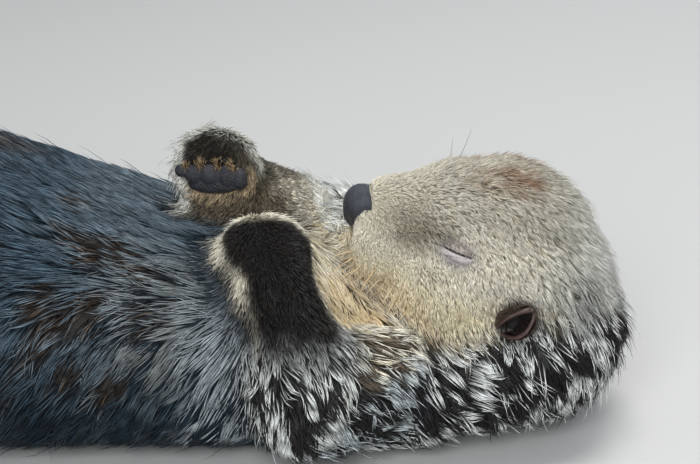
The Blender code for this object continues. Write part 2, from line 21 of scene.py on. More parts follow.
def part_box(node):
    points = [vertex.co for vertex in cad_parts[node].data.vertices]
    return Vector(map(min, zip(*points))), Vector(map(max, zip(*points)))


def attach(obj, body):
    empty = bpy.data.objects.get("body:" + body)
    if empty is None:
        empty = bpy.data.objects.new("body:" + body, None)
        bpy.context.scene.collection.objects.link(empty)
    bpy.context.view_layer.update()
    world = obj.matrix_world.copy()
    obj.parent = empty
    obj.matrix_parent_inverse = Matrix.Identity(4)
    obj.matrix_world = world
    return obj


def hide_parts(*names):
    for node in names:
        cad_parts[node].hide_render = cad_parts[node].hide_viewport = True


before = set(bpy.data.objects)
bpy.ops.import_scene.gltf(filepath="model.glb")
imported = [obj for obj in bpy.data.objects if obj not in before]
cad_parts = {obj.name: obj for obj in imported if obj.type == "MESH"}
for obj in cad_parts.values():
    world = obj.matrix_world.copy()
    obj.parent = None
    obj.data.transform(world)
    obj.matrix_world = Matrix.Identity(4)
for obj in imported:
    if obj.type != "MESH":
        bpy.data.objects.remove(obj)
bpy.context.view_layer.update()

MM = 0.001
RANDOM = np.random.default_rng(20)
SIDES = {"left": -1, "right": 1}

# ---------------------------------------------------------------- small numeric tools

def unit(vectors):
    return vectors / np.maximum(np.linalg.norm(vectors, axis=-1, keepdims=True), 1e-9)


def along(vectors, direction):
    return vectors @ direction


def ramp(low, high, value):
    share = np.clip((value - low) / (high - low), 0, 1)
    return share * share * (3 - 2 * share)


def tangent(vectors, normals):
    """The part of each vector that lies along the surface, at unit length."""
    return unit(vectors - (vectors * normals).sum(-1, keepdims=True) * normals)


def near(points, centre, radii_mm, soft=0.6):
    """1 inside an ellipsoid given by radii along forwards, sideways and upwards, 0 well outside."""
    offset = points - centre
    radii = np.array(radii_mm) * MM
    axes = zip((FRONT, ASIDE, UP), radii)
    reach = np.sqrt(sum((along(offset, axis) / radius) ** 2 for axis, radius in axes))
    return 1 - ramp(1 - soft / 2, 1 + soft / 2, reach)


def ripple(points, size_mm, seed):
    """Smooth noise from -1 to 1 whose bumps are about this large."""
    shift = Vector((seed * 17.3, seed * 5.1, seed * 9.7))
    scaled = points / (size_mm * MM)
    return np.array([noise.noise(Vector(point) + shift) for point in scaled])


def mixed(first, second, share):
    share = np.asarray(share)[..., None]
    return first * (1 - share) + second * share


def mixed_number(first, second, share):
    return first * (1 - share) + second * share


# ---------------------------------------------------------------- places

HEAD_TILT = math.radians(15)
FRONT = np.array((-math.cos(HEAD_TILT), 0, math.sin(HEAD_TILT)))
UP = np.array((math.sin(HEAD_TILT), 0, math.cos(HEAD_TILT)))
ASIDE = np.array((0.0, 1.0, 0.0))


def middle(node):
    low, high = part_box(node)
    return np.array((low + high) / 2)


NOSE = middle("nose")
EYE = {word: middle(f"eye_{word}") for word in SIDES}
EAR = {word: middle(f"ear_{word}") for word in SIDES}
PAW = {word: middle(f"forepaw_{word}") for word in SIDES}
PAD = {word: middle(f"palm_pad_{word}") for word in SIDES}
PAW_FINGERS = {"left": (-0.10, 0.93, 0.33), "right": (-0.10, -0.10, 0.98)}
PAW_PALM = {"left": (-0.10, 0.33, -0.94), "right": (-0.16, -0.97, -0.10)}
HEAD = middle("head") + 0.004 * FRONT
LID_SHIFT = 2.6 * FRONT + 2.4 * UP      # millimetres from an eye to the middle of its lids


def paw_axes(word):
    """Across the palm towards +X, towards the fingertips and out of the palm."""
    fingers = unit(np.array(PAW_FINGERS[word]))
    palm = np.array(PAW_PALM[word])
    palm = unit(palm - (palm @ fingers) * fingers)
    across = np.cross(fingers, palm)
    return across * np.sign(across[0]), fingers, palm


# ---------------------------------------------------------------- the coat's style

KINDS = (
    "muzzle", "head", "lower_jaw", "neck", "chest", "belly", "rump", "tail", "upper_arm",
    "forearm", "forepaw", "thigh", "shin", "hind_flipper",
)
SET_IN = {
    "nose": "muzzle", "eye": "head", "ear": "head", "palm_pad": "forepaw", "hind_claw": "hind_flipper",
}
# Millimetres: depth of the coat, length and width of a strand, space between strands, then the
# degrees that strands stray, the millimetres across a lock, how far a lock draws its tips in, and
# the share of strands that stand out from the coat.
STYLE = {
    "muzzle": (2.6, 5.0, 0.55, 0.92, 8, 2.5, 0.20, 0.01),
    "head": (5.0, 9.0, 0.62, 1.05, 8, 3.5, 0.28, 0.05),
    "lower_jaw": (3.0, 8.0, 0.62, 1.10, 10, 4.0, 0.35, 0.02),
    "neck": (8.0, 24, 0.95, 1.95, 13, 10.5, 0.95, 0.05),
    "chest": (5.5, 27, 0.90, 2.15, 5, 9.0, 0.50, 0.01),
    "belly": (6.0, 31, 1.05, 2.60, 5, 12, 0.50, 0.01),
    "rump": (6.0, 31, 1.25, 3.0, 6, 12, 0.50, 0.01),
    "tail": (6.0, 20, 1.5, 3.4, 8, 9.0, 0.50, 0.01),
    "upper_arm": (7.0, 24, 1.0, 2.0, 14, 10.5, 0.95, 0.04),
    "forearm": (4.5, 10, 0.85, 1.55, 11, 5.0, 0.35, 0.06),
    "forepaw": (3.5, 7.5, 0.65, 1.15, 12, 3.0, 0.20, 0.10),
    "thigh": (6.5, 24, 1.4, 3.0, 9, 12, 0.55, 0.01),
    "shin": (5.0, 13, 1.3, 2.7, 10, 8.0, 0.50, 0.01),
    "hind_flipper": (1.4, 5.0, 1.15, 2.4, 8, 3.0, 0.30, 0.0),
}
COLUMNS = ("depth", "length", "width", "spacing", "stray", "lock", "pull", "stand")
SKIN_VOXEL = 3.3 * MM
PATCH = 0.003             # side of a strand's patch in the coat's UV map
SWELL = 0.9 * MM          # closes the CAD's parting gaps before the nodes are fused
EAR_SEAT = 0.012          # radius of what fills the seat of an ear
LOWEST_SKIN = 0.0015      # how far over the floor the skin stays
LOWEST_HAIR = 0.0004


def longest_prefix(name, words):
    return max((word for word in words if name.startswith(word)), key=len)


def kind_of(node):
    found = longest_prefix(node, (*KINDS, *SET_IN))
    return SET_IN.get(found, found)


# ---------------------------------------------------------------- the skin

def mesh_of(name, form):
    mesh = bpy.data.meshes.new(name)
    form.to_mesh(mesh)
    form.free()
    return mesh


def clean_copy(node):
    """The node's mesh as one closed surface, moved outwards a little."""
    form = bmesh.new()
    form.from_mesh(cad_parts[node].data)
    bmesh.ops.remove_doubles(form, verts=form.verts, dist=1e-5)
    bmesh.ops.recalc_face_normals(form, faces=form.faces)
    form.normal_update()
    moves = [vertex.normal * SWELL for vertex in form.verts]
    for vertex, move in zip(form.verts, moves):
        vertex.co += move
    return mesh_of(node + "_copy", form)


def link(name, mesh):
    obj = bpy.data.objects.new(name, mesh)
    bpy.context.scene.collection.objects.link(obj)
    return obj


def fused(name, form, voxel, smoothing):
    """The shapes in form as one closed surface."""
    obj = link(name, mesh_of(name, form))
    remesh = obj.modifiers.new("Fuse", "REMESH")
    remesh.mode = "VOXEL"
    remesh.voxel_size = voxel
    soften = obj.modifiers.new("Soften", "SMOOTH")
    soften.iterations = smoothing
    evaluated = obj.evaluated_get(bpy.context.evaluated_depsgraph_get())
    mesh = bpy.data.meshes.new_from_object(evaluated)
    obj.modifiers.clear()
    obj.data = mesh
    return obj


def read_all(items, name, width, kind=float):
    """One property of every item of a mesh, as an array with this many columns."""
    values = np.empty(len(items) * width, kind)
    items.foreach_get(name, values)
    return values.reshape(-1, width)


def read_mesh(mesh):
    """Points, normals, edges and triangles of a mesh as arrays."""
    mesh.calc_loop_triangles()
    points, normals = read_all(mesh.vertices, "co", 3), read_all(mesh.vertices, "normal", 3)
    edges = read_all(mesh.edges, "vertices", 2, np.int64)
    triangles = read_all(mesh.loop_triangles, "vertices", 3, np.int64)
    return points, normals, edges, triangles


def tree_of(points, triangles):
    return BVHTree.FromPolygons([Vector(point) for point in points], triangles.tolist())


def spread(values, edges, rounds):
    """Values at the points of a mesh, each averaged with its neighbours round after round."""
    count = len(values)
    ends = np.concatenate([edges[:, 0], edges[:, 1]])
    others = np.concatenate([edges[:, 1], edges[:, 0]])
    degree = np.maximum(np.bincount(ends, minlength=count), 1)
    columns = values.reshape(count, -1).copy()
    for _ in range(rounds):
        for i in range(columns.shape[1]):
            mean = np.bincount(ends, weights=columns[others, i], minlength=count) / degree
            columns[:, i] += 0.5 * (mean - columns[:, i])
    return columns.reshape(values.shape)


def kind_weights(points, edges):
    """How far each point of the skin belongs to each kind of region, with soft borders."""
    verts, faces, owner = [], [], []
    for node in sorted(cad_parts):
        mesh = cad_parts[node].data
        start = len(verts)
        verts += [vertex.co.copy() for vertex in mesh.vertices]
        for polygon in mesh.polygons:
            faces.append([start + i for i in polygon.vertices])
            owner.append(KINDS.index(kind_of(node)))
    tree = BVHTree.FromPolygons(verts, faces)
    kinds = np.array([owner[tree.find_nearest(Vector(point))[2]] for point in points])
    return spread(np.eye(len(KINDS))[kinds], edges, 6)


def blended(weights, column):
    return weights @ np.array([STYLE[kind][column] for kind in KINDS])


def make_skin():
    """The flesh nodes as one surface, drawn in by the depth of the coat."""
    form = bmesh.new()
    for node in sorted(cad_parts):
        if not node.startswith(("ear", "palm_pad", "hind_claw")):
            form.from_mesh(clean_copy(node))
    for word, side in SIDES.items():
        # Fills the seat that the ear leaves in the head.
        place = Matrix.Translation(EAR[word] - side * 0.010 * ASIDE)
        bmesh.ops.create_icosphere(form, subdivisions=3, radius=EAR_SEAT, matrix=place)
    skin = fused("skin", form, SKIN_VOXEL, 4)
    points, normals, edges, _ = read_mesh(skin.data)
    weights = kind_weights(points, edges)
    depth = blended(weights, COLUMNS.index("depth")) * MM
    points = spread(points - unit(spread(normals, edges, 6)) * depth[:, None], edges, 4)
    points[:, 2] = np.maximum(points[:, 2], LOWEST_SKIN)
    skin.data.vertices.foreach_set("co", points.ravel())
    skin.data.update()
    return skin, weights


# ---------------------------------------------------------------- the lie of the coat

def flow_of(points, normals, weights):
    """The way the fur lies at each point: a guide for every kind of region, blended."""
    left = points[:, 1] < 0
    outwards = np.where(left, -1.0, 1.0)
    top = ramp(0.25, 0.85, normals[:, 2])
    ones = np.ones(len(points))

    def stacked(x, y, z):
        return np.stack([x * ones, y * ones, z * ones], -1)

    from_nose = points - NOSE
    distance = np.linalg.norm(from_nose, axis=1)
    fall = 0.50 + 0.7 * ramp(0.04, 0.14, distance)
    face = tangent(from_nose, normals) - fall[:, None] * UP
    breast = mixed(stacked(0.62, 0.45 * outwards, -0.65), stacked(0.5, 0.85 * outwards, 0), top)
    trunk = mixed(stacked(-0.62, 0, -0.75), stacked(-1, 0.10, 0), top)
    guides = {
        "muzzle": face, "head": face, "lower_jaw": face,
        "neck": mixed(stacked(0.85, 0, -0.42), stacked(0.25, 0, -0.95), ramp(0.41, 0.50, points[:, 0])),
        "chest": mixed(trunk, breast, ramp(0.288, 0.318, points[:, 0])),
        "belly": trunk, "rump": stacked(-1, 0.15 * outwards, -0.15),
        "tail": stacked(-1, 0.1, -0.05),
        "upper_arm": np.where(left[:, None], stacked(0.75, 0, -0.62), stacked(-0.8, 0.2, -0.2)),
        "thigh": stacked(-0.9, 0.35 * outwards, 0), "shin": stacked(-1, 0, -0.2),
        "hind_flipper": stacked(-0.7, 0.08 * outwards, 0.7),
    }
    to_elbow = stacked(0.30, -0.3, -0.9)
    from_paw_left = unit(points - PAW["left"]) * np.array((1.0, 0.2, 0.7))
    from_paw_right = unit(points - PAD["right"])
    guides["forearm"] = np.where(left[:, None], to_elbow, stacked(0.2, 0.6, -0.5))
    guides["forepaw"] = np.where(left[:, None], 0.8 * to_elbow + from_paw_left, from_paw_right)
    total = np.zeros_like(points)
    for i, kind in enumerate(KINDS):
        total += weights[:, i: i + 1] * tangent(guides[kind], normals)
    return tangent(total, normals)


def turned(vectors, normals, angles):
    """Vectors along a surface, each turned about its normal."""
    across = np.cross(normals, vectors)
    return vectors * np.cos(angles)[:, None] + across * np.sin(angles)[:, None]


# ---------------------------------------------------------------- markings

CREAM = np.array((0.86, 0.77, 0.57))
PALE = np.array((0.82, 0.80, 0.72))
OLIVE = np.array((0.30, 0.26, 0.18))
ORANGE = np.array((0.70, 0.42, 0.17))
PEACH = np.array((0.84, 0.60, 0.33))
STRAW = np.array((0.84, 0.68, 0.38))
RUST = np.array((0.30, 0.17, 0.10))
SILVER = np.array((0.50, 0.54, 0.55))
# Dark wet fur, tinted blue as a painted reflection of the sky.
DARK_FUR_AND_SKY_REFLECTION = np.array((0.020, 0.051, 0.080))
UMBER = np.array((0.030, 0.019, 0.012))
SOOT = np.array((0.009, 0.008, 0.008))
VELVET = np.array((0.010, 0.008, 0.007))
LID_PALE = np.array((0.42, 0.39, 0.38))
LID_GREY = np.array((0.24, 0.21, 0.19))

# Root and tip colour of the fur of each kind of region, and how much strands differ.
FUR = {
    "muzzle": (0.62 * CREAM, mixed(PALE, CREAM, 0.4), 0.10),
    "head": (0.60 * CREAM, mixed(CREAM, PALE, 0.65), 0.16),
    "lower_jaw": (0.5 * ORANGE, mixed(CREAM, ORANGE, 0.3), 0.15),
    "neck": (SOOT, mixed(SILVER, CREAM, 0.35), 0.50),
    "chest": (0.25 * DARK_FUR_AND_SKY_REFLECTION, mixed(DARK_FUR_AND_SKY_REFLECTION, SILVER, 0.14), 0.34),
    "belly": (0.22 * DARK_FUR_AND_SKY_REFLECTION, mixed(DARK_FUR_AND_SKY_REFLECTION, SILVER, 0.06), 0.32),
    "rump": (0.22 * DARK_FUR_AND_SKY_REFLECTION, mixed(DARK_FUR_AND_SKY_REFLECTION, SILVER, 0.06), 0.32),
    "tail": (0.4 * UMBER, mixed(DARK_FUR_AND_SKY_REFLECTION, UMBER, 0.3), 0.35),
    "upper_arm": (SOOT, mixed(SILVER, DARK_FUR_AND_SKY_REFLECTION, 0.15), 0.60),
    "forearm": (SOOT, VELVET, 0.3),
    "forepaw": (SOOT, VELVET, 0.3),
    "thigh": (0.20 * DARK_FUR_AND_SKY_REFLECTION, mixed(DARK_FUR_AND_SKY_REFLECTION, SILVER, 0.05), 0.34),
    "shin": (UMBER, mixed(DARK_FUR_AND_SKY_REFLECTION, UMBER, 0.65), 0.35),
    "hind_flipper": (SOOT, 2.0 * UMBER, 0.3),
}
# Where the wet coat has parted: place along the body, degrees from the top of the trunk towards
# each side (the left side is negative), and half the length of the parting in millimetres.
PARTINGS = (
    (0.181, -26, 7), (0.212, -47, 10), (0.196, -52, 13), (0.181, -45, 11), (0.226, -56, 9),
    (0.194, -68, 14), (0.178, -71, 16), (0.163, -66, 13), (0.154, -77, 12), (0.231, -71, 9),
    (0.200, -92, 12), (0.176, -86, 10), (0.122, -97, 15), (0.105, -90, 12), (0.060, -70, 14),
    (0.045, -78, 13), (-0.030, -60, 14), (-0.045, -85, 13), (-0.130, -75, 12), (0.180, 60, 13),
    (0.165, 68, 12), (0.080, 80, 14), (0.065, 74, 12), (-0.040, 62, 13), (-0.120, 78, 12),
)
PARTING_WIDTH = 4.2       # half its width in millimetres
TRUNK_AXIS_HEIGHT = 0.085
# Rusty places over each eye: how far back, up and inwards from it, radii and share.
RUSTY = (
    (0.002, 0.046, 0.032, (30, 13, 7), 0.55),
    (0.028, 0.051, 0.034, (14, 13, 11), 0.85),
)


class Marks:
    """The coat's colours at each point of the skin.

    root and tip are the colours of a strand's ends, uneven is how much strands differ, hold is how
    far up the root's colour reaches, and dusk is the share of strands that stay as dark as their
    roots, so that the pale ones stand apart; low down it is raised as painted shade as well.
    """

    def __init__(self, points, normals, weights):
        self.points, self.normals, self.weights = points, normals, weights
        self.x, self.y, self.z = points.T
        self.left = self.y < 0
        self.above, self.ahead = along(points - HEAD, UP), along(points - HEAD, FRONT)
        self.root, self.tip, self.uneven = (
            weights @ np.array([FUR[kind][i] for kind in KINDS]) for i in range(3)
        )
        self.hold = 0.30 * self.of("neck", "upper_arm")
        self.head = self.of("head", "muzzle", "lower_jaw")
        self.find_regions()
        self.mark_head()
        self.mark_face()
        self.mark_trunk()
        self.mark_breast()
        self.mark_near_arm()
        self.mark_far_arm()
        self.dusk = self.dark_share()

    def of(self, *kinds):
        return sum(self.weights[:, KINDS.index(kind)] for kind in kinds)

    def around(self, centre, radii, soft):
        return near(self.points, centre, radii, soft)

    def dye(self, share, root=None, tip=None):
        """Moves the colours towards these by this share."""
        if root is not None:
            self.root = mixed(self.root, root, share)
        if tip is not None:
            self.tip = mixed(self.tip, tip, share)

    def find_regions(self):
        above, ahead, x, z = self.above, self.ahead, self.x, self.z
        # The back of the head and the nape.
        below = ramp(-0.022, -0.050, above) * ramp(0.020, -0.020, ahead)
        self.nape = 1 - (1 - ramp(0.000, -0.046, ahead)) * (1 - below)
        # The middle of the head's back, where the fur is dry, soft and white.
        fluff = ramp(-0.010, -0.040, ahead) * ramp(-0.030, 0.005, above)
        self.fluff = fluff * ramp(0.052, 0.022, np.abs(self.y))
        # The cream breast and front of the neck, down to where the wet locks start.
        uneven = ripple(self.points, 16, 2)
        share = ramp(0.300, 0.318, x + 0.008 * uneven)
        share *= ramp(0.076, 0.096, z + 0.010 * uneven)
        front = self.of("chest", "neck") + 0.8 * self.of("upper_arm")
        self.breast = share * front * (1 - ramp(0.425, 0.455, x))
        self.specks = ramp(0.112, 0.092, z) * ramp(0.335, 0.360, x)
        # The wet locks between the breast and the floor, in front of the nape.
        wet = self.of("chest", "neck") * ramp(0.322, 0.342, x)
        self.wet = wet * self.left * (1 - self.breast)

    def mark_head(self):
        dye, head, above, ahead = self.dye, self.head, self.above, self.ahead
        # Silver tips over dark roots on the back of the head, but a pale crown.
        back = (head + self.of("neck")) * self.nape
        gaps = back * ramp(0.056, 0.016, above)
        # Lower down, the roots in the gaps darken further: partly the wet fur, partly painted shade towards
        # the floor.
        low = ramp(0.100, 0.050, self.z)
        dye(gaps, root=mixed(0.22 * OLIVE, mixed(SOOT, UMBER, 0.6) * 1.6, low))
        dye(0.8 * back, tip=PALE)
        dye(0.85 * gaps, tip=mixed(SILVER, PALE, 0.45))
        self.uneven += 0.30 * gaps * head
        self.hold += 0.34 * gaps * head
        # The lowest fur of the nape is darker: partly the wet fur, partly painted shade towards the floor.
        dye(0.8 * (back * ramp(0.060, 0.030, self.z)), tip=0.45 * SILVER)
        # Orange at the edge of the chin, and cream cheeks, warmer than the rest of the face.
        chin = head * ramp(-0.026, -0.050, above) * ramp(-0.030, 0.020, ahead)
        dye(0.70 * chin, tip=PEACH)
        dye(0.6 * chin, root=0.8 * PEACH)
        cheek = head * ramp(0.006, -0.018, above) * ramp(-0.045, 0.0, ahead)
        patchy = ripple(self.points, 14, 1)
        dye(0.8 * cheek * (0.8 + 0.3 * patchy), tip=mixed(1.10 * CREAM, STRAW, 0.55))
        dye(0.7 * cheek * (1 - chin), root=0.85 * CREAM)
        # A duller crown, with white fluff over its middle and down the back of the head.
        brow = head * ramp(0.016, 0.046, above) * ramp(-0.060, -0.030, ahead)
        self.tip = self.tip * (1 - 0.22 * brow)[:, None]
        self.root = self.root * (1 - 0.35 * brow)[:, None]
        fluff = self.fluff * head
        dye(0.9 * fluff, 0.7 * PALE, 1.1 * PALE)
        self.hold *= 1 - fluff

    def mark_face(self):
        """What surrounds each ear and eye."""
        dye, around = self.dye, self.around
        patchy, streaky = ripple(self.points, 14, 1), ripple(self.points, 6, 6)
        for word, side in SIDES.items():
            # Dark brown fur round the seat of each ear, darkened partly as painted shade under the ear.
            hollow = EAR[word] - 0.003 * UP - 0.012 * side * ASIDE
            dye(around(hollow, (15, 20, 15), 0.5), SOOT, 1.2 * UMBER)
            eye = EYE[word]
            bridge = NOSE * 0.42 + eye * 0.58 + 0.007 * UP
            olive = around(bridge, (31, 20, 14), 1.1) * (0.80 + 0.45 * patchy)
            dye(np.clip(0.85 * olive, 0, 1), tip=OLIVE)
            dye(np.clip(olive, 0, 1), root=0.3 * OLIVE)
            # Lilac grey hair on and round the lids, and a dark corner in front of them.
            lids = around(eye + MM * LID_SHIFT, (17, 20, 9), 0.9)
            dye(0.55 * lids, tip=1.25 * LID_PALE)
            dye(0.6 * lids, root=0.7 * LID_GREY)
            corner = around(eye + MM * (15.5 * FRONT + 8.5 * UP), (9, 10, 5.5), 1.2)
            dye(0.95 * corner, 0.10 * OLIVE, 0.24 * OLIVE)
            dye(0.35 * around(eye + 0.020 * FRONT - 0.016 * UP, (9, 12, 5), 1.2), tip=OLIVE)
            # A brown streak that runs back from over the eye to a rusty patch by the crown.
            for back_by, up_by, in_by, size, share in RUSTY:
                place = eye - back_by * FRONT + up_by * UP - side * in_by * ASIDE
                rust = around(place, size, 1.0) * (0.7 + 0.9 * streaky)
                dye(np.clip(share * rust, 0, 1), RUST * 0.6, RUST * 1.1)

    def mark_trunk(self):
        dye, x = self.dye, self.x
        patchy = ripple(self.points, 16, 2)
        streaky = ripple(self.points * np.array((0.4, 1, 1)), 9, 4)
        # Wet fur differs in broad, soft streaks, and is darkest low on the flanks: partly the wet fur,
        # partly painted shade towards the floor.
        trunk = self.of("chest", "belly", "rump", "thigh")
        self.tip = self.tip * (1 + 0.35 * trunk * streaky)[:, None]
        self.tip = self.tip * (1 - 0.60 * trunk * ramp(0.130, 0.055, self.z))[:, None]
        # Browner towards the tail.
        behind = self.of("belly", "rump", "thigh", "tail") * ramp(-0.02, -0.26, x + 0.03 * patchy)
        dye(0.75 * behind, tip=mixed(1.3 * UMBER, DARK_FUR_AND_SKY_REFLECTION, 0.3))
        # Greener and paler beside the forearm, and a pale bundle of fur below it.
        slate = self.of("chest", "belly")
        beside = self.around(PAW["left"] + np.array((-0.060, -0.030, -0.020)), (34, 40, 34), 1.0)
        dye(0.35 * (slate * beside), tip=mixed(OLIVE, SILVER, 0.35))
        bundle = slate * ramp(0.245, 0.262, x) * ramp(-0.085, -0.100, self.y)
        dye(0.8 * bundle, tip=mixed(SILVER, DARK_FUR_AND_SKY_REFLECTION, 0.35))
        # Dry brown fur on the top of the belly.
        dry = slate * self.around(np.array((0.085, 0.025, 0.195)), (70, 34, 24), 0.8)
        dye(np.clip(0.8 * dry * (0.8 + 0.6 * patchy), 0, 1), tip=2.2 * UMBER)

    def mark_breast(self):
        dye, pale, wet = self.dye, self.breast, self.wet
        straw = np.clip(0.5 + 0.9 * ripple(self.points * np.array((0.5, 1, 1)), 7, 8), 0, 1)
        dye(pale, tip=mixed(1.05 * PALE, STRAW, 0.75 * straw))
        dye(0.9 * pale, root=mixed(0.35 * CREAM, 0.5 * ORANGE, 0.35))
        dye(0.9 * (pale * self.specks), root=SOOT)
        self.uneven *= 1 - 0.6 * pale
        self.hold *= 1 - pale
        yellow = pale * self.around(PAW["left"] + np.array((0.045, 0.0, -0.020)), (26, 30, 34), 1.0)
        dye(0.75 * yellow, tip=mixed(0.72 * STRAW, ORANGE, 0.10))
        dye(0.7 * yellow, root=0.35 * ORANGE)
        dye(wet, SOOT, mixed(SILVER, PALE, 0.35))
        self.hold = mixed_number(self.hold, 0.30, wet)
        # Orange creases where the chin presses on the breast.
        crease = pale * self.around(NOSE + np.array((-0.008, -0.032, -0.040)), (26, 30, 30), 0.9)
        patchy = ripple(self.points, 16, 2)
        dye(np.clip(0.45 * crease * (0.4 + 1.2 * patchy), 0, 1), tip=ORANGE)

    def near_arm(self):
        share = self.of("forearm", "forepaw") * (self.x > PAW["left"][0] - 0.045) * self.left
        share = share * (self.z < 0.170)
        return share * (np.linalg.norm(self.points - PAW["right"], axis=1) > 0.040)

    def mark_near_arm(self):
        """Dark velvet with a cream fringe along its edges, and silver-tipped locks at the elbow."""
        dye, z, near_arm = self.dye, self.z, self.near_arm()
        edge = ramp(-0.60, -0.86, self.normals[:, 0]) * ramp(0.070, 0.090, z)
        edge = edge + ramp(-0.12, 0.20, self.normals[:, 1]) * ramp(0.110, 0.130, z)
        fringe = near_arm * np.clip(edge, 0, 1)
        dye(fringe, tip=mixed(CREAM, PALE, 0.4))
        dye(0.7 * fringe, root=0.5 * CREAM)
        elbow = near_arm * ramp(0.116, 0.090, z + 0.01 * ripple(self.points, 10, 5))
        dye(0.9 * elbow, tip=mixed(SILVER, CREAM, 0.15))
        dye(elbow, root=SOOT)
        self.uneven += 0.30 * elbow
        self.hold += 0.30 * elbow

    def mark_far_arm(self):
        """An olive forearm and a grizzled paw with a tawny ring round its pad, with painted shade and rim
        light.
        """
        dye = self.dye
        patchy = ripple(self.points, 10, 5)
        far = np.clip(self.of("forearm", "forepaw") - self.near_arm(), 0, 1)
        across, fingers, palm = paw_axes("right")
        offset = (self.points - PAD["right"]) / MM
        over, up, facing = along(offset, across), along(offset, fingers), along(self.normals, palm)
        # The olive fur, made darker still as painted shade.
        olive = far * ramp(10, 26, over + 4 * patchy)
        dye(np.clip(0.9 * olive, 0, 1), tip=0.40 * OLIVE)
        dye(0.8 * far, root=0.18 * OLIVE)
        # Below the pad the fur turns dark brown: partly brown fur, partly a painted shadow under the paw.
        under = far * ramp(-13, -19, up)
        dye(np.clip(under, 0, 1), tip=mixed(2.4 * UMBER, OLIVE, 0.4))
        dark = far * ramp(10, 16, up) * ramp(10, 0, over) * ramp(0.0, 0.4, facing)
        dye(0.85 * dark, tip=mixed(SOOT, UMBER, 0.5))
        ring = far * ramp(22, 13, np.hypot(0.50 * over, up)) * ramp(0.3, 0.6, facing)
        ring = ring * np.maximum(ramp(9, 1, up), ramp(-14, -22, over))
        dye(0.70 * ring, tip=0.75 * mixed(ORANGE, CREAM, 0.5))
        cream = far * ramp(30, 42, over + 5 * patchy)
        dye(0.95 * cream, tip=mixed(CREAM, PALE, 0.5))
        dye(0.9 * cream, root=0.75 * CREAM)
        # Pale tips on the back of the paw, seen only at its outline: silver-tipped fur and a painted rim
        # light.
        rim = far * ramp(0.35, -0.05, facing) * ramp(-8, 4, up)
        dye(0.8 * rim, tip=mixed(SILVER, CREAM, 0.35))
        wrist = far * ramp(-13, -20, over + 2 * patchy)
        dye(wrist, tip=1.1 * PALE)
        dye(0.8 * wrist, root=0.6 * PALE)
        self.uneven += 0.12 * far
        shoulder = self.of("upper_arm") * ~self.left
        dye(shoulder, 0.55 * PALE, mixed(SILVER, PALE, 0.45))
        self.hold *= 1 - shoulder

    def dark_share(self):
        head, left, z = self.head, self.left, self.z
        # More strands stay dark lower down on the head, neck, near arm and trunk: partly the wet fur,
        # partly painted shade towards the floor.
        low = ramp(0.085, 0.045, z)
        dark = 0.03 * head + 0.10 * head * ramp(0.010, 0.040, self.above)
        back = self.nape * ramp(0.060, 0.010, self.above)
        dark = mixed_number(dark, 0.38 + 0.38 * low, head * back) * (1 - self.fluff)
        dark = dark + self.of("neck") * (0.52 + 0.24 * low)
        dark = dark + self.of("upper_arm") * left * (0.56 + 0.24 * ramp(0.060, 0.030, z))
        arm = self.of("forearm", "forepaw") * left
        dark = dark + 0.58 * arm * ramp(0.112, 0.090, z)
        trunk = self.of("chest", "belly", "rump", "thigh")
        dark = dark + trunk * (0.20 + 0.40 * ramp(0.120, 0.060, z))
        dark = mixed_number(dark, 0.12 + 0.54 * self.specks, self.breast)
        return mixed_number(dark, 0.66, self.wet)


# ---------------------------------------------------------------- strands

TRIES = 2.6               # places tried for each strand that there is room for
FINE_LENGTH = 13          # millimetres: longer strands than this have two rings and not one
# Where a strand's rings and ends stand along it, and the share of its width at each ring.
FINE_STRAND = (np.array((0.0, 0.38, 0.72, 1.0)), np.array((1.0, 0.75)))
PLAIN_STRAND = (np.array((0.0, 0.5, 1.0)), np.array((1.0,)))
SPACING_STEP = 1.12       # places are thinned in cells whose sizes grow by this factor
BOW = 1.35                # radians: a strand rises from the skin and bends over by this much
ROOT_DEPTH = 0.4 * MM     # how far a strand's root lies under the skin


def strand_faces(rings):
    """Triangles of one closed strand: a root point, rings of three and a tip point."""
    last = 3 * rings - 2
    faces = []
    for j in range(3):
        k = (j + 1) % 3
        faces.append((0, 1 + k, 1 + j))
        for ring in range(rings - 1):
            a, b = 1 + 3 * ring + j, 1 + 3 * ring + k
            faces += [(a, b, b + 3), (a, b + 3, a + 3)]
        faces.append((last + j, last + k, last + 3))
    return np.array(faces)


def strand_points(path, across, over, widths, thickness):
    """Points of every strand. path is (strands, stations, 3); widths holds one number a ring."""
    parts = [path[:, :1]]
    for ring in range(1, path.shape[1] - 1):
        centre = path[:, ring]
        half = widths[:, ring - 1: ring] / 2
        low = centre - over * half * thickness
        top = centre + over * half * thickness * 2
        parts.append(np.stack([low + across * half, top, low - across * half], 1))
    parts.append(path[:, -1:])
    return np.concatenate(parts, 1)


def strand_frame(path, normal, rolling):
    """Each strand's broad and thin directions, rolled about its length by a random angle."""
    heading = unit(path[:, -1] - path[:, 0])
    over = tangent(normal, heading)
    across = np.cross(heading, over)
    roll = (rolling * RANDOM.normal(size=len(path)))[:, None]
    return across * np.cos(roll) - over * np.sin(roll), over * np.cos(roll) + across * np.sin(roll)


def per_point(stations):
    """Values given a station, repeated for the three points of each ring."""
    return np.concatenate([stations[:, :1], np.repeat(stations[:, 1:-1], 3, axis=1), stations[:, -1:]], 1)


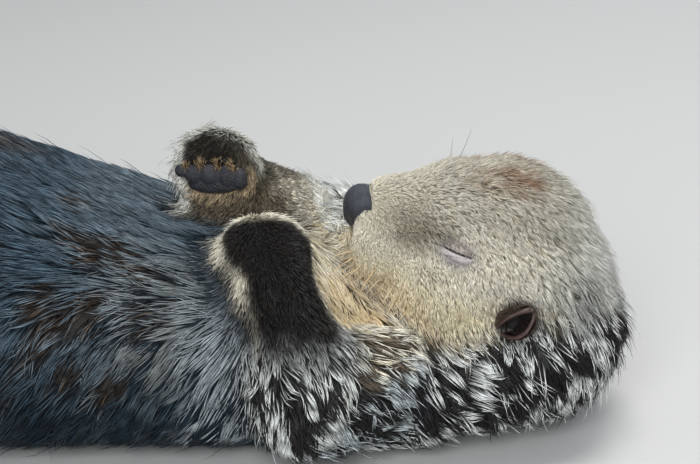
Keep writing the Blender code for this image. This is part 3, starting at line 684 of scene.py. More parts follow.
def mesh_from(name, points, triangles, colours=None, uvs=None):
    mesh = bpy.data.meshes.new(name)
    mesh.vertices.add(len(points))
    mesh.vertices.foreach_set("co", points.astype(np.float32).ravel())
    mesh.loops.add(triangles.size)
    mesh.loops.foreach_set("vertex_index", triangles.astype(np.int32).ravel())
    mesh.polygons.add(len(triangles))
    mesh.polygons.foreach_set("loop_start", np.arange(0, triangles.size, 3, dtype=np.int32))
    mesh.update(calc_edges=True)
    mesh.shade_smooth()
    if colours is not None:
        paint(mesh, colours)
    if uvs is not None:
        layer = mesh.uv_layers.new(name="OFBake")
        layer.data.foreach_set("uv", uvs[triangles.ravel()].astype(np.float32).ravel())
    return mesh


def paint(mesh, colours):
    """Stores a colour for each point, which the materials read."""
    layer = mesh.color_attributes.new("fur", "FLOAT_COLOR", "POINT")
    rgba = np.concatenate([colours, np.ones((len(colours), 1))], 1)
    layer.data.foreach_set("color", rgba.astype(np.float32).ravel())


def unwrap(points, triangles):
    """UV of each corner of these triangles, unwrapped along the surface's own shape."""
    used, index = np.unique(triangles, return_inverse=True)
    mesh = mesh_from("patch", points[used], index.reshape(-1, 3))
    obj = link("patch", mesh)
    bpy.context.view_layer.objects.active = obj
    obj.select_set(True)
    bpy.ops.object.mode_set(mode="EDIT")
    bpy.ops.mesh.select_all(action="SELECT")
    bpy.ops.uv.smart_project(angle_limit=math.radians(70), island_margin=0.004)
    bpy.ops.object.mode_set(mode="OBJECT")
    uvs = read_all(obj.data.uv_layers.active.data, "uv", 2)
    bpy.data.objects.remove(obj)
    return uvs.reshape(-1, 3, 2)


def thinned(points, spacing):
    """Indices of a random choice of the points with about this much space between them."""
    order = RANDOM.permutation(len(points))
    step = math.log(SPACING_STEP)
    level = np.round(np.log(spacing[order]) / step).astype(np.int64)
    size = np.exp(level * step)
    cells = np.floor(points[order] / size[:, None]).astype(np.int64)
    _, first = np.unique(np.concatenate([cells, level[:, None]], 1), axis=0, return_index=True)
    return order[np.sort(first)]


class Skin(Marks):
    """The skin's arrays, and everything that is known at each of its points."""

    def __init__(self, obj, weights):
        points, normals, self.edges, self.triangles = read_mesh(obj.data)
        normals = unit(spread(normals, self.edges, 2))
        super().__init__(points, normals, weights)
        flow = flow_of(points, normals, weights)
        self.flow = tangent(spread(flow, self.edges, 14), normals)
        self.style = np.stack([blended(weights, i) for i in range(len(COLUMNS))], 1)
        self.tree = tree_of(points, self.triangles)
        self.adjust()
        self.part_coat()

    def towards(self, share, **values):
        """Moves the style towards these values by this share."""
        for name, value in values.items():
            column = COLUMNS.index(name)
            self.style[:, column] += share * (value - self.style[:, column])

    def adjust(self):
        """Changes the style within the regions by place."""
        towards, points, head = self.towards, self.points, self.of("head")
        back = (head + 0.6 * self.of("neck")) * self.nape
        towards(back, depth=7.5, length=21, width=0.85, spacing=1.62)
        towards(back, stray=9, lock=7, pull=0.90, stand=0.10)
        crown = head * ramp(0.040, 0.062, self.above)
        towards(0.7 * crown, pull=0.30, lock=4, length=13, spacing=1.2, width=0.6, stand=0.20)
        towards(self.fluff * head, length=15, pull=0.25, lock=4, spacing=1.3, width=0.6, stand=0.25)
        towards(self.wet, depth=7.5, length=24, width=0.95, spacing=1.95, stray=14, lock=10.5, pull=0.95)
        for word in SIDES:
            lids = near(points, EYE[word], (19, 14, 14), 0.8)
            towards(lids, depth=2.4, length=5.0, width=0.45, spacing=0.85, pull=0.2)
            ear = near(points, EAR[word], (24, 24, 22), 0.8)
            towards(ear, depth=3.0, length=7, width=0.6, spacing=1.1, pull=0.3, stand=0.15)
        over = along(points - PAD["right"], paw_axes("right")[0])
        wrist = self.of("forepaw") * (self.y > 0) * ramp(-0.008, -0.016, over)
        towards(wrist, length=21, stand=0.35, depth=14)
        elbow = self.of("forearm", "upper_arm") * self.left * ramp(0.116, 0.090, self.z)
        towards(elbow, length=21, width=1.0, spacing=1.85, stray=14, lock=9.5, pull=0.92, stand=0.05)
        # Under the body, where the coat is pressed flat, fewer and broader strands do.
        under = ramp(0.012, 0.003, self.z)
        self.style[:, COLUMNS.index("spacing")] *= 1 + 0.8 * under
        self.style[:, COLUMNS.index("width")] *= 1 + 0.5 * under

    def part_coat(self):
        """Opens the partings: bare in the middle, with brown underfur and pointed locks round it."""
        core, rim = np.zeros(len(self.points)), np.zeros(len(self.points))
        for x, degrees, half_length in PARTINGS:
            start, turn = Vector((x, 0, TRUNK_AXIS_HEIGHT)), math.radians(degrees)
            place, _, index, _ = self.tree.ray_cast(start, Vector((0, math.sin(turn), math.cos(turn))))
            flow = self.flow[self.triangles[index][0]]
            offset = (self.points - np.array(place)) / MM
            lengthwise = along(offset, flow)
            sidewards = np.linalg.norm(offset - lengthwise[:, None] * flow, axis=1)
            bend = 0.012 * lengthwise**2
            inner = np.hypot(lengthwise / half_length, (sidewards + bend) / PARTING_WIDTH)
            outer = np.hypot(lengthwise / (half_length + 9), sidewards / (PARTING_WIDTH + 7))
            core = np.maximum(core, 1 - ramp(0.7, 1.2, inner))
            rim = np.maximum(rim, 1 - ramp(0.6, 1.1, outer))
        self.cleft = core
        self.dye(0.9 * rim, root=0.6 * UMBER)
        self.dye(0.5 * rim, tip=mixed(DARK_FUR_AND_SKY_REFLECTION, SILVER, 0.28))
        self.dye(core, 0.3 * UMBER, mixed(2 * UMBER, ORANGE, 0.05))
        self.hold += 0.30 * rim
        self.dusk = self.dusk + 0.30 * rim
        self.towards(rim, lock=8, pull=0.95, stray=12, length=24)


def read_at(values, corners, shares):
    """Values of the skin's points, read at places within its triangles."""
    return np.einsum("ij,ij...->i...", shares, values[corners])


def roots_on(skin, triangles, bare):
    """Where strands grow on these triangles: the triangle of each, and its place in it as shares."""
    corners = skin.points[triangles]
    sides = np.cross(corners[:, 1] - corners[:, 0], corners[:, 2] - corners[:, 0])
    column = COLUMNS.index("spacing")
    spacing = skin.style[triangles, column].mean(1) * MM
    load = np.linalg.norm(sides, axis=1) / 2 / spacing**2
    picks = int(load.sum() * TRIES)
    steps = (np.arange(picks) + RANDOM.random(picks)) / picks
    picked = np.searchsorted(np.cumsum(load) / load.sum(), steps).clip(0, len(load) - 1)
    shares = RANDOM.dirichlet((1, 1, 1), picks)
    places = read_at(skin.points, triangles[picked], shares)
    kept = thinned(places, read_at(skin.style, triangles[picked], shares)[:, column] * MM)
    picked, shares = picked[kept], shares[kept]
    root = read_at(skin.points, triangles[picked], shares)
    cleft = read_at(skin.cleft, triangles[picked], shares)
    clear = ~bare(root) & (RANDOM.random(len(root)) > 0.85 * cleft)
    return picked[clear], shares[clear]


def locks_of(root, size):
    """Each strand belongs to the lock of the nearest of a thinner set of strands, the leaders."""
    leaders = thinned(root, size)
    tree = KDTree(len(leaders))
    for i, leader in enumerate(leaders):
        tree.insert(root[leader], i)
    tree.balance()
    return leaders, np.array([tree.find(point)[1] for point in root])


def bowed(root, normal, flow, reach, rise, stations):
    """Paths that leave the skin and bend over to lie along the flow."""
    lift = np.sin(BOW * stations) / math.sin(BOW)
    return (
        root[:, None] - ROOT_DEPTH * normal[:, None] * (stations == 0)[None, :, None]
        + flow[:, None] * (reach[:, None] * stations)[..., None]
        + normal[:, None] * (rise[:, None] * lift)[..., None]
    )


def gathered(path, leader, pull, stations):
    """Paths drawn in towards the leader of their lock, most at their tips."""
    draw = (pull[:, None] * stations**1.6)[..., None]
    loose = (0.10 + 0.25 * RANDOM.random(len(path)))[:, None, None]
    path = path + (path[leader] - path) * draw * (1 - loose)
    path[:, :, 2] = np.maximum(path[:, :, 2], LOWEST_HAIR)
    return path


def grow(name, skin, chosen, slot, bare):
    """The coat over the chosen triangles of the skin, as one mesh of closed strands."""
    triangles = skin.triangles[chosen]
    picked, shares = roots_on(skin, triangles, bare)

    def read(values):
        return read_at(values, triangles[picked], shares)

    root, normal = read(skin.points), unit(read(skin.normals))
    depth, length, width, _, stray, lock_size, pull, stand = read(skin.style).T
    uneven, hold, dusk = read(skin.uneven), read(skin.hold), read(skin.dusk)
    count = len(root)
    swirl = np.radians(stray * 1.6) * ripple(root, 16, 3)
    swirl = swirl + np.radians(stray * 0.6) * RANDOM.normal(size=count)
    flow = turned(tangent(read(skin.flow), normal), normal, swirl)

    leaders, lock = locks_of(root, lock_size * MM)
    leader = leaders[lock]
    lock_shade = RANDOM.normal(size=len(leaders))[lock]
    own_shade = RANDOM.normal(size=count)
    dark = 1 / (1 + np.exp(-1.7 * (0.88 * lock_shade + 0.47 * own_shade))) < dusk
    lock_turn = np.radians(stray[leader] * 0.9) * RANDOM.normal(size=len(leaders))[lock]
    flow = turned(flow, normal, lock_turn)

    apart = RANDOM.random(count) < stand
    reach = length * MM * (0.8 + 0.4 * RANDOM.random(count)) * np.where(apart, 1.15, 1)
    rise = depth * MM * (0.55 + 0.5 * RANDOM.random(count)) + np.where(apart, 0.22, 0) * reach
    rise = rise * np.where(dark, 0.75, 1)
    fine = np.median(length) > FINE_LENGTH or name == "coat_arm_left"
    stations, ring_share = FINE_STRAND if fine else PLAIN_STRAND
    path = bowed(root, normal, flow, reach, rise, stations)
    curl = 0.10 * RANDOM.normal(size=len(leaders))[lock] + 0.05 * RANDOM.normal(size=count)
    curl = (curl * reach)[:, None] * stations**2
    path = path + np.cross(normal, flow)[:, None] * curl[..., None]
    path = gathered(path, leader, np.where(apart, 0.1, pull), stations)

    sides = strand_frame(path, normal, 0.5)
    girth = width * MM * (0.75 + 0.5 * RANDOM.random(count)) * np.where(apart, 0.6, 1)
    shade = np.clip(np.exp(uneven * (0.55 * lock_shade + 0.65 * own_shade)), 0.15, 1.6)
    dim = 1.5 * np.exp(0.45 * RANDOM.normal(size=count))
    lower, upper = read(skin.root), read(skin.tip)
    bright = np.where(dark[:, None], lower * dim[:, None], upper * shade[:, None])
    fade = np.clip((stations - hold[:, None]) / (0.6 * (1 - hold[:, None])), 0, 1)
    shades = mixed(lower[:, None], bright[:, None], fade)
    spot = unwrap(skin.points, triangles)
    home = np.einsum("ij,ijk->ik", shares, spot[picked])
    strand_piece(name, path, sides, girth[:, None] * ring_share, shades, home, slot)


def strand_piece(name, path, sides, widths, shades, home, slot, thickness=0.4):
    """Strands as one joined mesh, with each strand's UV in a small patch round its home."""
    count, stations = path.shape[:2]
    rings = stations - 2
    points = strand_points(path, *sides, widths, thickness)
    tint = per_point(np.clip(shades, 0, 0.95))
    starts = np.arange(count) * (2 + 3 * rings)
    triangles = (strand_faces(rings)[None] + starts[:, None, None]).reshape(-1, 3)
    patch = np.zeros((count, 2 + 3 * rings, 2))
    patch[:, 1:-1, 0] = np.tile((-1.0, 0.0, 1.0), rings)
    patch[:, :, 1] = per_point(np.linspace(-1, 1, stations)[None])
    uvs = (home[:, None] + patch * PATCH / 2).reshape(-1, 2)
    mesh = mesh_from(name, points.reshape(-1, 3), triangles, tint.reshape(-1, 3), uvs)
    mesh.materials.append(fur_material(name))
    piece = link(name, mesh)
    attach(piece, "root")
    print(f"{name}: {count} strands, {len(triangles)} triangles")


# ---------------------------------------------------------------- materials

WETNESS = {"coat_muzzle": 0.65, "coat_head_left": 0.62, "coat_head_right": 0.62}
NOISE, CELLS = "ShaderNodeTexNoise", "ShaderNodeTexVoronoi"


def new_material(name):
    material = bpy.data.materials.new(name)
    material.use_nodes = True
    nodes, links = material.node_tree.nodes, material.node_tree.links
    return material, nodes, links, nodes["Principled BSDF"]


def set_inputs(node, **values):
    for name, value in values.items():
        node.inputs[name.replace("_", " ")].default_value = value


def surface(name, roughness, layers, relief=None, colour=None):
    """A material whose colour is varied by textures, the last of which can also raise its surface.

    Each layer is a kind of texture, its scale and detail, and the factors that the colour is
    multiplied by where its value is low and where it is high. Without a colour, the one that is
    stored at the mesh's points is used. relief is the strength and distance of a bump.
    """
    material, nodes, links, shader = new_material(name)
    base = nodes.new("ShaderNodeRGB" if colour else "ShaderNodeAttribute")
    if colour:
        base.outputs[0].default_value = (*colour, 1)
    else:
        base.attribute_name = "fur"
    shade = base.outputs["Color"]
    for kind, scale, detail, low, high in layers:
        place, texture = nodes.new("ShaderNodeTexCoord"), nodes.new(kind)
        set_inputs(texture, Scale=scale, Detail=detail)
        links.new(place.outputs["Object"], texture.inputs["Vector"])
        factor = nodes.new("ShaderNodeMapRange")
        set_inputs(factor, From_Min=0.3, From_Max=0.7, To_Min=low, To_Max=high)
        links.new(texture.outputs[0], factor.inputs["Value"])
        product = nodes.new("ShaderNodeMix")
        product.data_type = "RGBA"
        product.blend_type = "MULTIPLY"
        set_inputs(product, Factor=1)
        links.new(shade, product.inputs["A"])
        links.new(factor.outputs["Result"], product.inputs["B"])
        shade = product.outputs["Result"]
    links.new(shade, shader.inputs["Base Color"])
    set_inputs(shader, Roughness=roughness)
    if relief:
        bump = nodes.new("ShaderNodeBump")
        set_inputs(bump, Strength=relief[0], Distance=relief[1])
        links.new(texture.outputs[0], bump.inputs["Height"])
        links.new(bump.outputs["Normal"], shader.inputs["Normal"])
    return material


def fur_material(name):
    """Strands: the colour stored on them, varied finely along the coat."""
    material = surface(name, WETNESS.get(name, 0.45), [(NOISE, 900, 4, 0.8, 1.2)])
    set_inputs(material.node_tree.nodes["Principled BSDF"], Specular_IOR_Level=0.32)
    return material


def leather_material(name, colour, cells, roughness, depth):
    """Bare skin: fine cobbles with darker seams between them."""
    layers = [(NOISE, 160, 4, 0.65, 1.45), (CELLS, cells, 4, 1.25, 0.7)]
    return surface(name, roughness, layers, (0.7, -depth), colour)


def painted_material(name, roughness, grain, depth):
    """Bare skin whose colour is stored at its points, with fine folds over it."""
    return surface(name, roughness, [(NOISE, grain, 6, 0.75, 1.25)], (0.5, depth))


# ---------------------------------------------------------------- bare pieces

def finished(piece, material, slot, *nodes):
    """Makes a piece of the otter: it rides on the body and stands for these CAD nodes."""
    piece.data.shade_smooth()
    dress(piece, material)
    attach(piece, "root")
    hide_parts(*nodes)


def dress(piece, material):
    piece.data.materials.clear()
    piece.data.materials.append(material)


def shell_piece(name, outside, inside, outside_colours, inside_colours):
    """A solid between two grids of points, each (rows, columns, 3)."""
    rows, columns = outside.shape[:2]
    index = np.arange(rows * columns).reshape(rows, columns)
    quads = np.stack([index[:-1, :-1], index[:-1, 1:], index[1:, 1:], index[1:, :-1]], -1).reshape(-1, 4)
    under = quads[:, ::-1] + rows * columns
    walls = []
    for rim in (index[0], index[:, -1], index[-1][::-1], index[:, 0][::-1]):
        below = rim + rows * columns
        walls.append(np.stack([rim[1:], rim[:-1], below[:-1], below[1:]], -1))
    quads = np.concatenate([quads, under, *walls])
    triangles = np.concatenate([quads[:, :3], quads[:, [0, 2, 3]]])
    points = np.concatenate([outside.reshape(-1, 3), inside.reshape(-1, 3)])
    colours = np.concatenate([outside_colours.reshape(-1, 3), inside_colours.reshape(-1, 3)])
    mesh = mesh_from(name, points, triangles, colours)
    form = bmesh.new()
    form.from_mesh(mesh)
    bmesh.ops.remove_doubles(form, verts=form.verts, dist=1e-7)
    bmesh.ops.recalc_face_normals(form, faces=form.faces)
    form.to_mesh(mesh)
    form.free()
    return link(name, mesh)


def bell(distance, width):
    """1 at no distance, falling away like a bell of this width."""
    return np.exp(-((distance / width) ** 2))


def cast_grid(tree, starts, direction):
    """Where lines from these points, all in one direction or each in its own, meet a surface."""
    directions = np.broadcast_to(direction, starts.shape)
    places = starts.copy()
    for i in np.ndindex(starts.shape[:-1]):
        hit = tree.ray_cast(Vector(starts[i]), Vector(directions[i]))[0]
        if hit:
            places[i] = hit
    return places


# The nose pad, in millimetres: how high each level is above the middle of the nose, how wide the
# pad is there to each side, and how many degrees the surface is seen from above.
NOSE_LEVELS = np.array((-17, -13, -8, -3, 2, 6, 9, 11))
NOSE_HALF = np.array((1.0, 3.2, 6.2, 9.2, 13, 17, 19.5, 16))
NOSE_PITCH = np.array((0, 0, 0, 4, 12, 26, 44, 62))
NOSE_TURN = 50            # degrees that the sides of the pad turn away from the front
NOSE_THICK = 4.5
NOSTRIL_SIDE, NOSTRIL_LEVEL = 8.0, -4.0
NOSE_GREY = np.array((0.058, 0.067, 0.090))


def make_nose():
    """The bare pad: a shield laid over the front of the muzzle, broad above and pointed below."""
    form = bmesh.new()
    for node in ("nose", "muzzle", "lower_jaw"):
        form.from_mesh(clean_copy(node))
    hull = fused("nose_hull", form, 1.5 * MM, 9)
    points, _, _, triangles = read_mesh(hull.data)
    bpy.data.objects.remove(hull)
    tree = tree_of(points, triangles)
    levels = np.linspace(NOSE_LEVELS[0], NOSE_LEVELS[-1], 71)
    level, share = np.meshgrid(levels, np.linspace(-1, 1, 85), indexing="ij")
    turn = np.radians(NOSE_TURN * share)[..., None]
    pitch = np.radians(np.interp(level, NOSE_LEVELS, NOSE_PITCH))[..., None]
    way = np.cos(pitch) * (np.cos(turn) * FRONT + np.sin(turn) * ASIDE) + np.sin(pitch) * UP
    sideways = np.interp(level, NOSE_LEVELS, NOSE_HALF) * share
    through = NOSE + MM * (level[..., None] * UP + sideways[..., None] * ASIDE)
    front = cast_grid(tree, through + 0.04 * way, -way)
    rim = np.maximum(np.abs(share), np.abs(level + 3) / 14)
    sunk = -0.2 + 2.4 * ramp(0.86, 1.0, rim)
    sunk += 0.6 * bell(sideways, 1.2) * ramp(2, -8, level)
    slit = (np.abs(sideways) - NOSTRIL_SIDE) - 0.75 * (level - NOSTRIL_LEVEL)
    sunk += 2.0 * bell(slit, 1.3) * bell(level - NOSTRIL_LEVEL, 3.6)
    sunk -= 0.5 * bell(np.abs(sideways) - 11.5, 3) * bell(level - NOSTRIL_LEVEL, 4)
    outside = front - MM * sunk[..., None] * way
    inside = front - NOSE_THICK * MM * way
    # Painted shade in the nostrils: the pad darkens along their shallow slits.
    dark = mixed(NOSE_GREY, 0.15 * NOSE_GREY, bell(slit, 1.4) * bell(level - NOSTRIL_LEVEL, 3.8))
    piece = shell_piece("nose_pad", outside, inside, dark, dark)
    pebbles = [(NOISE, 220, 4, 0.65, 1.4), (CELLS, 1300, 4, 1.5, 0.55)]
    finished(piece, surface("nose_leather", 0.40, pebbles, (0.9, -0.0005)), "nose_leather", "nose")


def on_nose(points):
    """Where the pad is bare: the same outline as the pad's own, a little smaller."""
    offset = (points - NOSE) / MM
    ahead, level = along(offset, FRONT), along(offset, UP)
    # A pitched ray that meets the surface behind the middle of the nose has passed it higher up.
    level = level - ahead * np.tan(np.radians(np.interp(level, NOSE_LEVELS, NOSE_PITCH)))
    sideways = np.abs(along(offset, ASIDE))
    half = np.interp(level, NOSE_LEVELS, NOSE_HALF)
    half = half + ahead * 0.6
    inside = (sideways < 0.96 * half - 0.5) & (np.abs(ahead) < 16)
    return inside & (level > NOSE_LEVELS[0]) & (level < NOSE_LEVELS[-1] - 0.5)


# The palm pad in millimetres: place and radii (across the palm, to the fingers, outwards).
PAD_LUMPS = (
    ((2, -4.5, 0), (19.5, 7.8, 4.6)),
    ((-20.5, 5.5, 0.0), (4.6, 4.6, 4.0)),
    ((-12, 3.0, 0.5), (6.8, 7.2, 5.0)),
    ((-0.5, 2.6, 0.9), (7.6, 8.0, 5.4)),
    ((11, 0.6, 0.5), (7.0, 8.6, 5.0)),
    ((19.5, -1.5, 0.1), (5.4, 8.4, 4.6)),
)
PAD_CLEFTS = (-16.5, -6.2, 5.4, 15.6)


def make_pads():
    """A broad heel pad with five lobes, cleft between them."""
    material = leather_material("pad_leather", (0.024, 0.024, 0.031), 620, 0.5, 0.0008)
    for word in SIDES:
        axes = paw_axes(word)
        turn = Matrix([list(axis) for axis in axes]).transposed().to_4x4()
        form = bmesh.new()
        for place, radii in PAD_LUMPS:
            centre = PAD[word] + sum(MM * step * axis for step, axis in zip(place, axes))
            size = Matrix.Diagonal((*[float(radius) * MM for radius in radii], 1))
            matrix = Matrix.Translation(Vector(centre)) @ turn @ size
            bmesh.ops.create_icosphere(form, subdivisions=4, radius=1, matrix=matrix)
        piece = fused(f"palm_pad_skin_{word}", form, 0.7 * MM, 2)
        finished(piece, material, "pad_leather", f"palm_pad_{word}")
        pad_tufts(word, axes)


def pad_tufts(word, axes):
    """Tawny tufts that grow between the lobes of the pad."""
    across, fingers, palm = axes
    count = 460
    places = RANDOM.choice(np.array(PAD_CLEFTS), count) + RANDOM.normal(size=count) * 1.2
    up = RANDOM.uniform(2, 13, count) - 0.010 * places**2
    out = RANDOM.uniform(-0.5, 2.2, count)
    root = PAD[word] + MM * (places[:, None] * across + up[:, None] * fingers + out[:, None] * palm)
    lean = unit(fingers + 0.45 * palm + 0.35 * RANDOM.normal(size=(count, 1)) * across)
    reach = RANDOM.uniform(3.5, 7, count) * MM
    tone = np.exp(0.45 * RANDOM.normal(size=(count, 1)))
    tip = mixed(0.5 * OLIVE, 0.45 * ORANGE, RANDOM.random(count) * 0.8) * tone
    tufts(f"pad_tufts_{word}", root, lean, palm, reach, 0.65, (0.3 * tip, tip), "fur_dark")


def tufts(name, root, way, normal, reach, width, shades, slot, lift=0.0):
    """Short strands from given roots, straight but for a little lift towards the normal."""
    count = len(root)
    normal = np.broadcast_to(normal, root.shape)
    middle_lift = lift * reach[:, None] * normal
    path = np.stack([root, root + 0.5 * reach[:, None] * way + middle_lift, root + reach[:, None] * way], 1)
    sides = strand_frame(path, normal, 0.5)
    first, last = shades
    colours = np.stack([first, 0.5 * (first + last), last], 1)
    # Their UV patches stand in rows, because these strands have no skin of their own to unwrap.
    side = math.ceil(math.sqrt(count))
    home = (np.stack([np.arange(count) % side, np.arange(count) // side], 1) + 0.5) / side
    strand_piece(name, path, sides, np.full((count, 1), width * MM), colours, home, slot)


LID_SLOPE = 0.20            # rise of the slit towards its inner corner
LID_HALF = (14.5, 9.5)      # half the lids' length and height in millimetres
LID_THICK = 2.4
LID_DOME = 4.2              # how far the eye bulges under them
LASH = np.array((0.006, 0.005, 0.005))


class Lid:
    """Where the lids of one eye lie: their middle, the way they face and the way the slit runs."""

    def __init__(self, word, side, tree):
        start = Vector(EYE[word] + MM * LID_SHIFT + 0.03 * side * ASIDE)
        place, normal, _, _ = tree.ray_cast(start, Vector(-side * ASIDE))
        self.facing = unit(0.5 * np.array(normal) + 0.5 * side * ASIDE)
        self.inwards = tangent(FRONT + LID_SLOPE * UP, self.facing)
        across = np.cross(self.facing, self.inwards)
        self.up = across * np.sign(across @ UP)
        self.middle = np.array(place)

    def on_skin(self, tree, u, v):
        """The skin's points at these shares of the lids' half length and half height."""
        flat = LID_HALF[0] * u[..., None] * self.inwards + LID_HALF[1] * v[..., None] * self.up
        return cast_grid(tree, self.middle + MM * flat + 0.015 * self.facing, -self.facing)

    def shares(self, points):
        offset = (points - self.middle) / MM
        return along(offset, self.inwards) / LID_HALF[0], along(offset, self.up) / LID_HALF[1]


def slit_of(u):
    """The height of the slit along the lids: nearly straight, sagging a little in the middle."""
    return -0.06 + 0.16 * u**2 - 0.03 * u


def make_lids(lids, tree):
    """Both lids of a shut eye: a low dome with the slit between them, drawn down over the eye."""
    material = painted_material("lid_skin", 0.55, 900, 0.0003)
    u, v = np.meshgrid(np.linspace(-1, 1, 97), np.linspace(-1, 1, 77), indexing="ij")
    window = np.clip(1 - u**2, 0, 1)
    dome = np.clip(1 - u**2 - v**2, 0, 1) ** 0.5
    above = v - slit_of(u)
    fold, pleat = above + 0.62 - 0.12 * u, above + 0.40 + 0.35 * u
    streaks = np.sin(26 * u + 9 * v + 2.2 * np.sin(7 * u) + 3 * np.sin(11 * v + 4 * u))
    height = LID_DOME * dome**0.8 - 1.0
    height -= 1.2 * bell(above + 0.01, 0.055) * window**0.3
    height += 0.9 * ramp(0.0, 0.10, above) * ramp(0.75, 0.15, above) * window
    height += 0.6 * bell(above + 0.30, 0.16) * window
    height -= 0.8 * bell(fold, 0.07) * window**0.5
    height -= 0.5 * bell(pleat, 0.045) * window
    height += 0.10 * streaks * dome
    lower = ramp(0.02, -0.12, above)
    tone = mixed(LID_GREY, LID_PALE, lower) * (1 + (0.10 + 0.22 * (1 - lower)) * streaks)[..., None]
    # Painted shade along the two folds under the slit.
    tone = mixed(tone, 0.5 * LID_GREY, 0.6 * bell(fold, 0.09) * window**0.5)
    tone = mixed(tone, 0.6 * LID_GREY, 0.4 * bell(pleat, 0.06) * window)
    line = bell(above + 0.01, 0.035 + 0.035 * window) * np.clip(1.6 * window, 0, 1)
    colours = mixed(tone, LASH, np.clip(1.3 * line, 0, 1))
    corner = bell(np.hypot((u - 0.90) / 0.22, above / 0.30), 1)
    colours = mixed(colours, LASH * 2, np.clip(corner, 0, 1))
    for word, lid in lids.items():
        skin_level = lid.on_skin(tree, u, v)
        outside = skin_level + MM * height[..., None] * lid.facing
        inside = skin_level - LID_THICK * MM * lid.facing
        piece = shell_piece(f"eyelids_{word}", outside, inside, colours, colours)
        finished(piece, material, "eyelid_skin", f"eye_{word}")
        lid_hair(word, lid, tree)


def lid_hair(word, lid, tree):
    """Fine pale hair lying over both lids, and the lashes along the slit."""
    count = 520
    u = RANDOM.uniform(-0.86, 0.86, count)
    upper = RANDOM.random(count) < 0.60
    rise = np.where(upper, RANDOM.uniform(0.16, 0.85, count), RANDOM.uniform(-0.85, -0.34, count))
    v = slit_of(u) + rise * np.sqrt(1 - u**2)
    dome = LID_DOME * np.clip(1 - u**2 - v**2, 0, 1) ** 0.4 + np.where(upper, 0.0, -0.9)
    root = lid.on_skin(tree, u, v) + MM * dome[:, None] * lid.facing
    spray = RANDOM.normal(size=(count, 3)) * 0.12
    way = unit(-0.75 * lid.up - 0.65 * lid.inwards + spray + 0.10 * lid.facing)
    tone = np.exp(0.25 * RANDOM.normal(size=(count, 1)))
    tip = np.where(upper[:, None], 1.35 * LID_GREY, 1.1 * LID_PALE) * tone
    reach = RANDOM.uniform(2.2, 3.6, count) * MM
    tufts(f"lid_hair_{word}", root, way, lid.facing, reach, 0.35, (0.6 * tip, tip), "fur_pale", 0.05)
    count = 70
    u = np.linspace(-0.85, 0.80, count) + 0.01 * RANDOM.normal(size=count)
    root = lid.on_skin(tree, u, slit_of(u) + 0.03) + 2.2 * MM * np.sqrt(1 - u**2)[:, None] * lid.facing
    way = unit(-0.8 * lid.up - (0.5 * u[:, None] + 0.55) * lid.inwards + 0.35 * lid.facing)
    way = unit(way + 0.10 * RANDOM.normal(size=(count, 3)))
    shade = np.tile(2.0 * LASH, (count, 1))
    reach = RANDOM.uniform(1.4, 2.6, count) * MM
    tufts(f"lashes_{word}", root, way, lid.facing, reach, 0.30, (shade, shade), "fur_dark", 0.1)


EAR_OUT = (-0.475, 0.62, 0.624)         # the ear's length, as forwards, sideways and upwards
EAR_FACING = (0.45, 0.60, -0.62)        # the way its hollow faces
EAR_HALF_LENGTH, EAR_HALF_WIDTH = 13.5, 9.5
EAR_CURL = np.radians((165, 105))        # half the turn of its sheet at the root and at the tip
EAR_BROWN = np.array((0.020, 0.012, 0.010))
# The rim's pinkish-brown skin, lightened as a painted highlight.
EAR_RIM_HIGHLIGHT = np.array((0.052, 0.026, 0.022))
EAR_HAIR = np.array((0.050, 0.032, 0.022))


def head_way(way, side):
    return way[0] * FRONT + side * way[1] * ASIDE + way[2] * UP


def make_ears():
    """A small ear like a leaf rolled at its root, with a thick, turned-in rim, painted lighter as a
    highlight.
    """
    material = painted_material("ear_skin", 0.48, 500, 0.0004)
    s, t = np.meshgrid(np.linspace(0, 1, 44), np.linspace(-1, 1, 65), indexing="ij")
    curl = EAR_CURL[0] + (EAR_CURL[1] - EAR_CURL[0]) * s**0.8
    half_width = EAR_HALF_WIDTH * np.sin(math.pi * (0.20 + 0.66 * s)) ** 0.6
    half_width = half_width * np.clip(1 - s**7, 0.02, 1) ** 0.5
    radius = half_width / np.sin(np.minimum(curl, math.pi / 2))
    rim = np.maximum(ramp(0.74, 0.93, np.abs(t)), ramp(0.86, 0.97, s))
    for word, side in SIDES.items():
        out = unit(head_way(EAR_OUT, side))
        facing = tangent(head_way(EAR_FACING, side), out)
        edge = np.cross(out, facing)
        edge = edge * np.sign(edge @ UP)
        length = (EAR_HALF_LENGTH * (2 * s - 1))[..., None] * out
        centre = EAR[word] + MM * (length - 5.0 * facing + (1.5 * s**2)[..., None] * facing)
        layers = []
        for sign in (1, -1):
            thick = radius + sign * (0.9 + 0.55 * rim)
            over = (thick * np.sin(t * curl))[..., None] * edge
            bow = (radius - thick * np.cos(t * curl))[..., None] * facing
            layers.append(centre + MM * (over + bow))
        grain = (1 + 0.25 * np.sin(31 * t + 9 * s) * np.sin(17 * s + 5 * t))[..., None]
        # The rim is painted lighter as a highlight, and the hollow side darker as painted shade.
        back = mixed(EAR_BROWN, EAR_RIM_HIGHLIGHT, rim) * grain
        hollow = mixed(0.25 * EAR_BROWN, EAR_RIM_HIGHLIGHT, rim) * grain
        piece = shell_piece(f"ear_shell_{word}", layers[0], layers[1], back, hollow)
        finished(piece, material, "ear_skin", f"ear_{word}")
        ear_fur(word, layers, out)


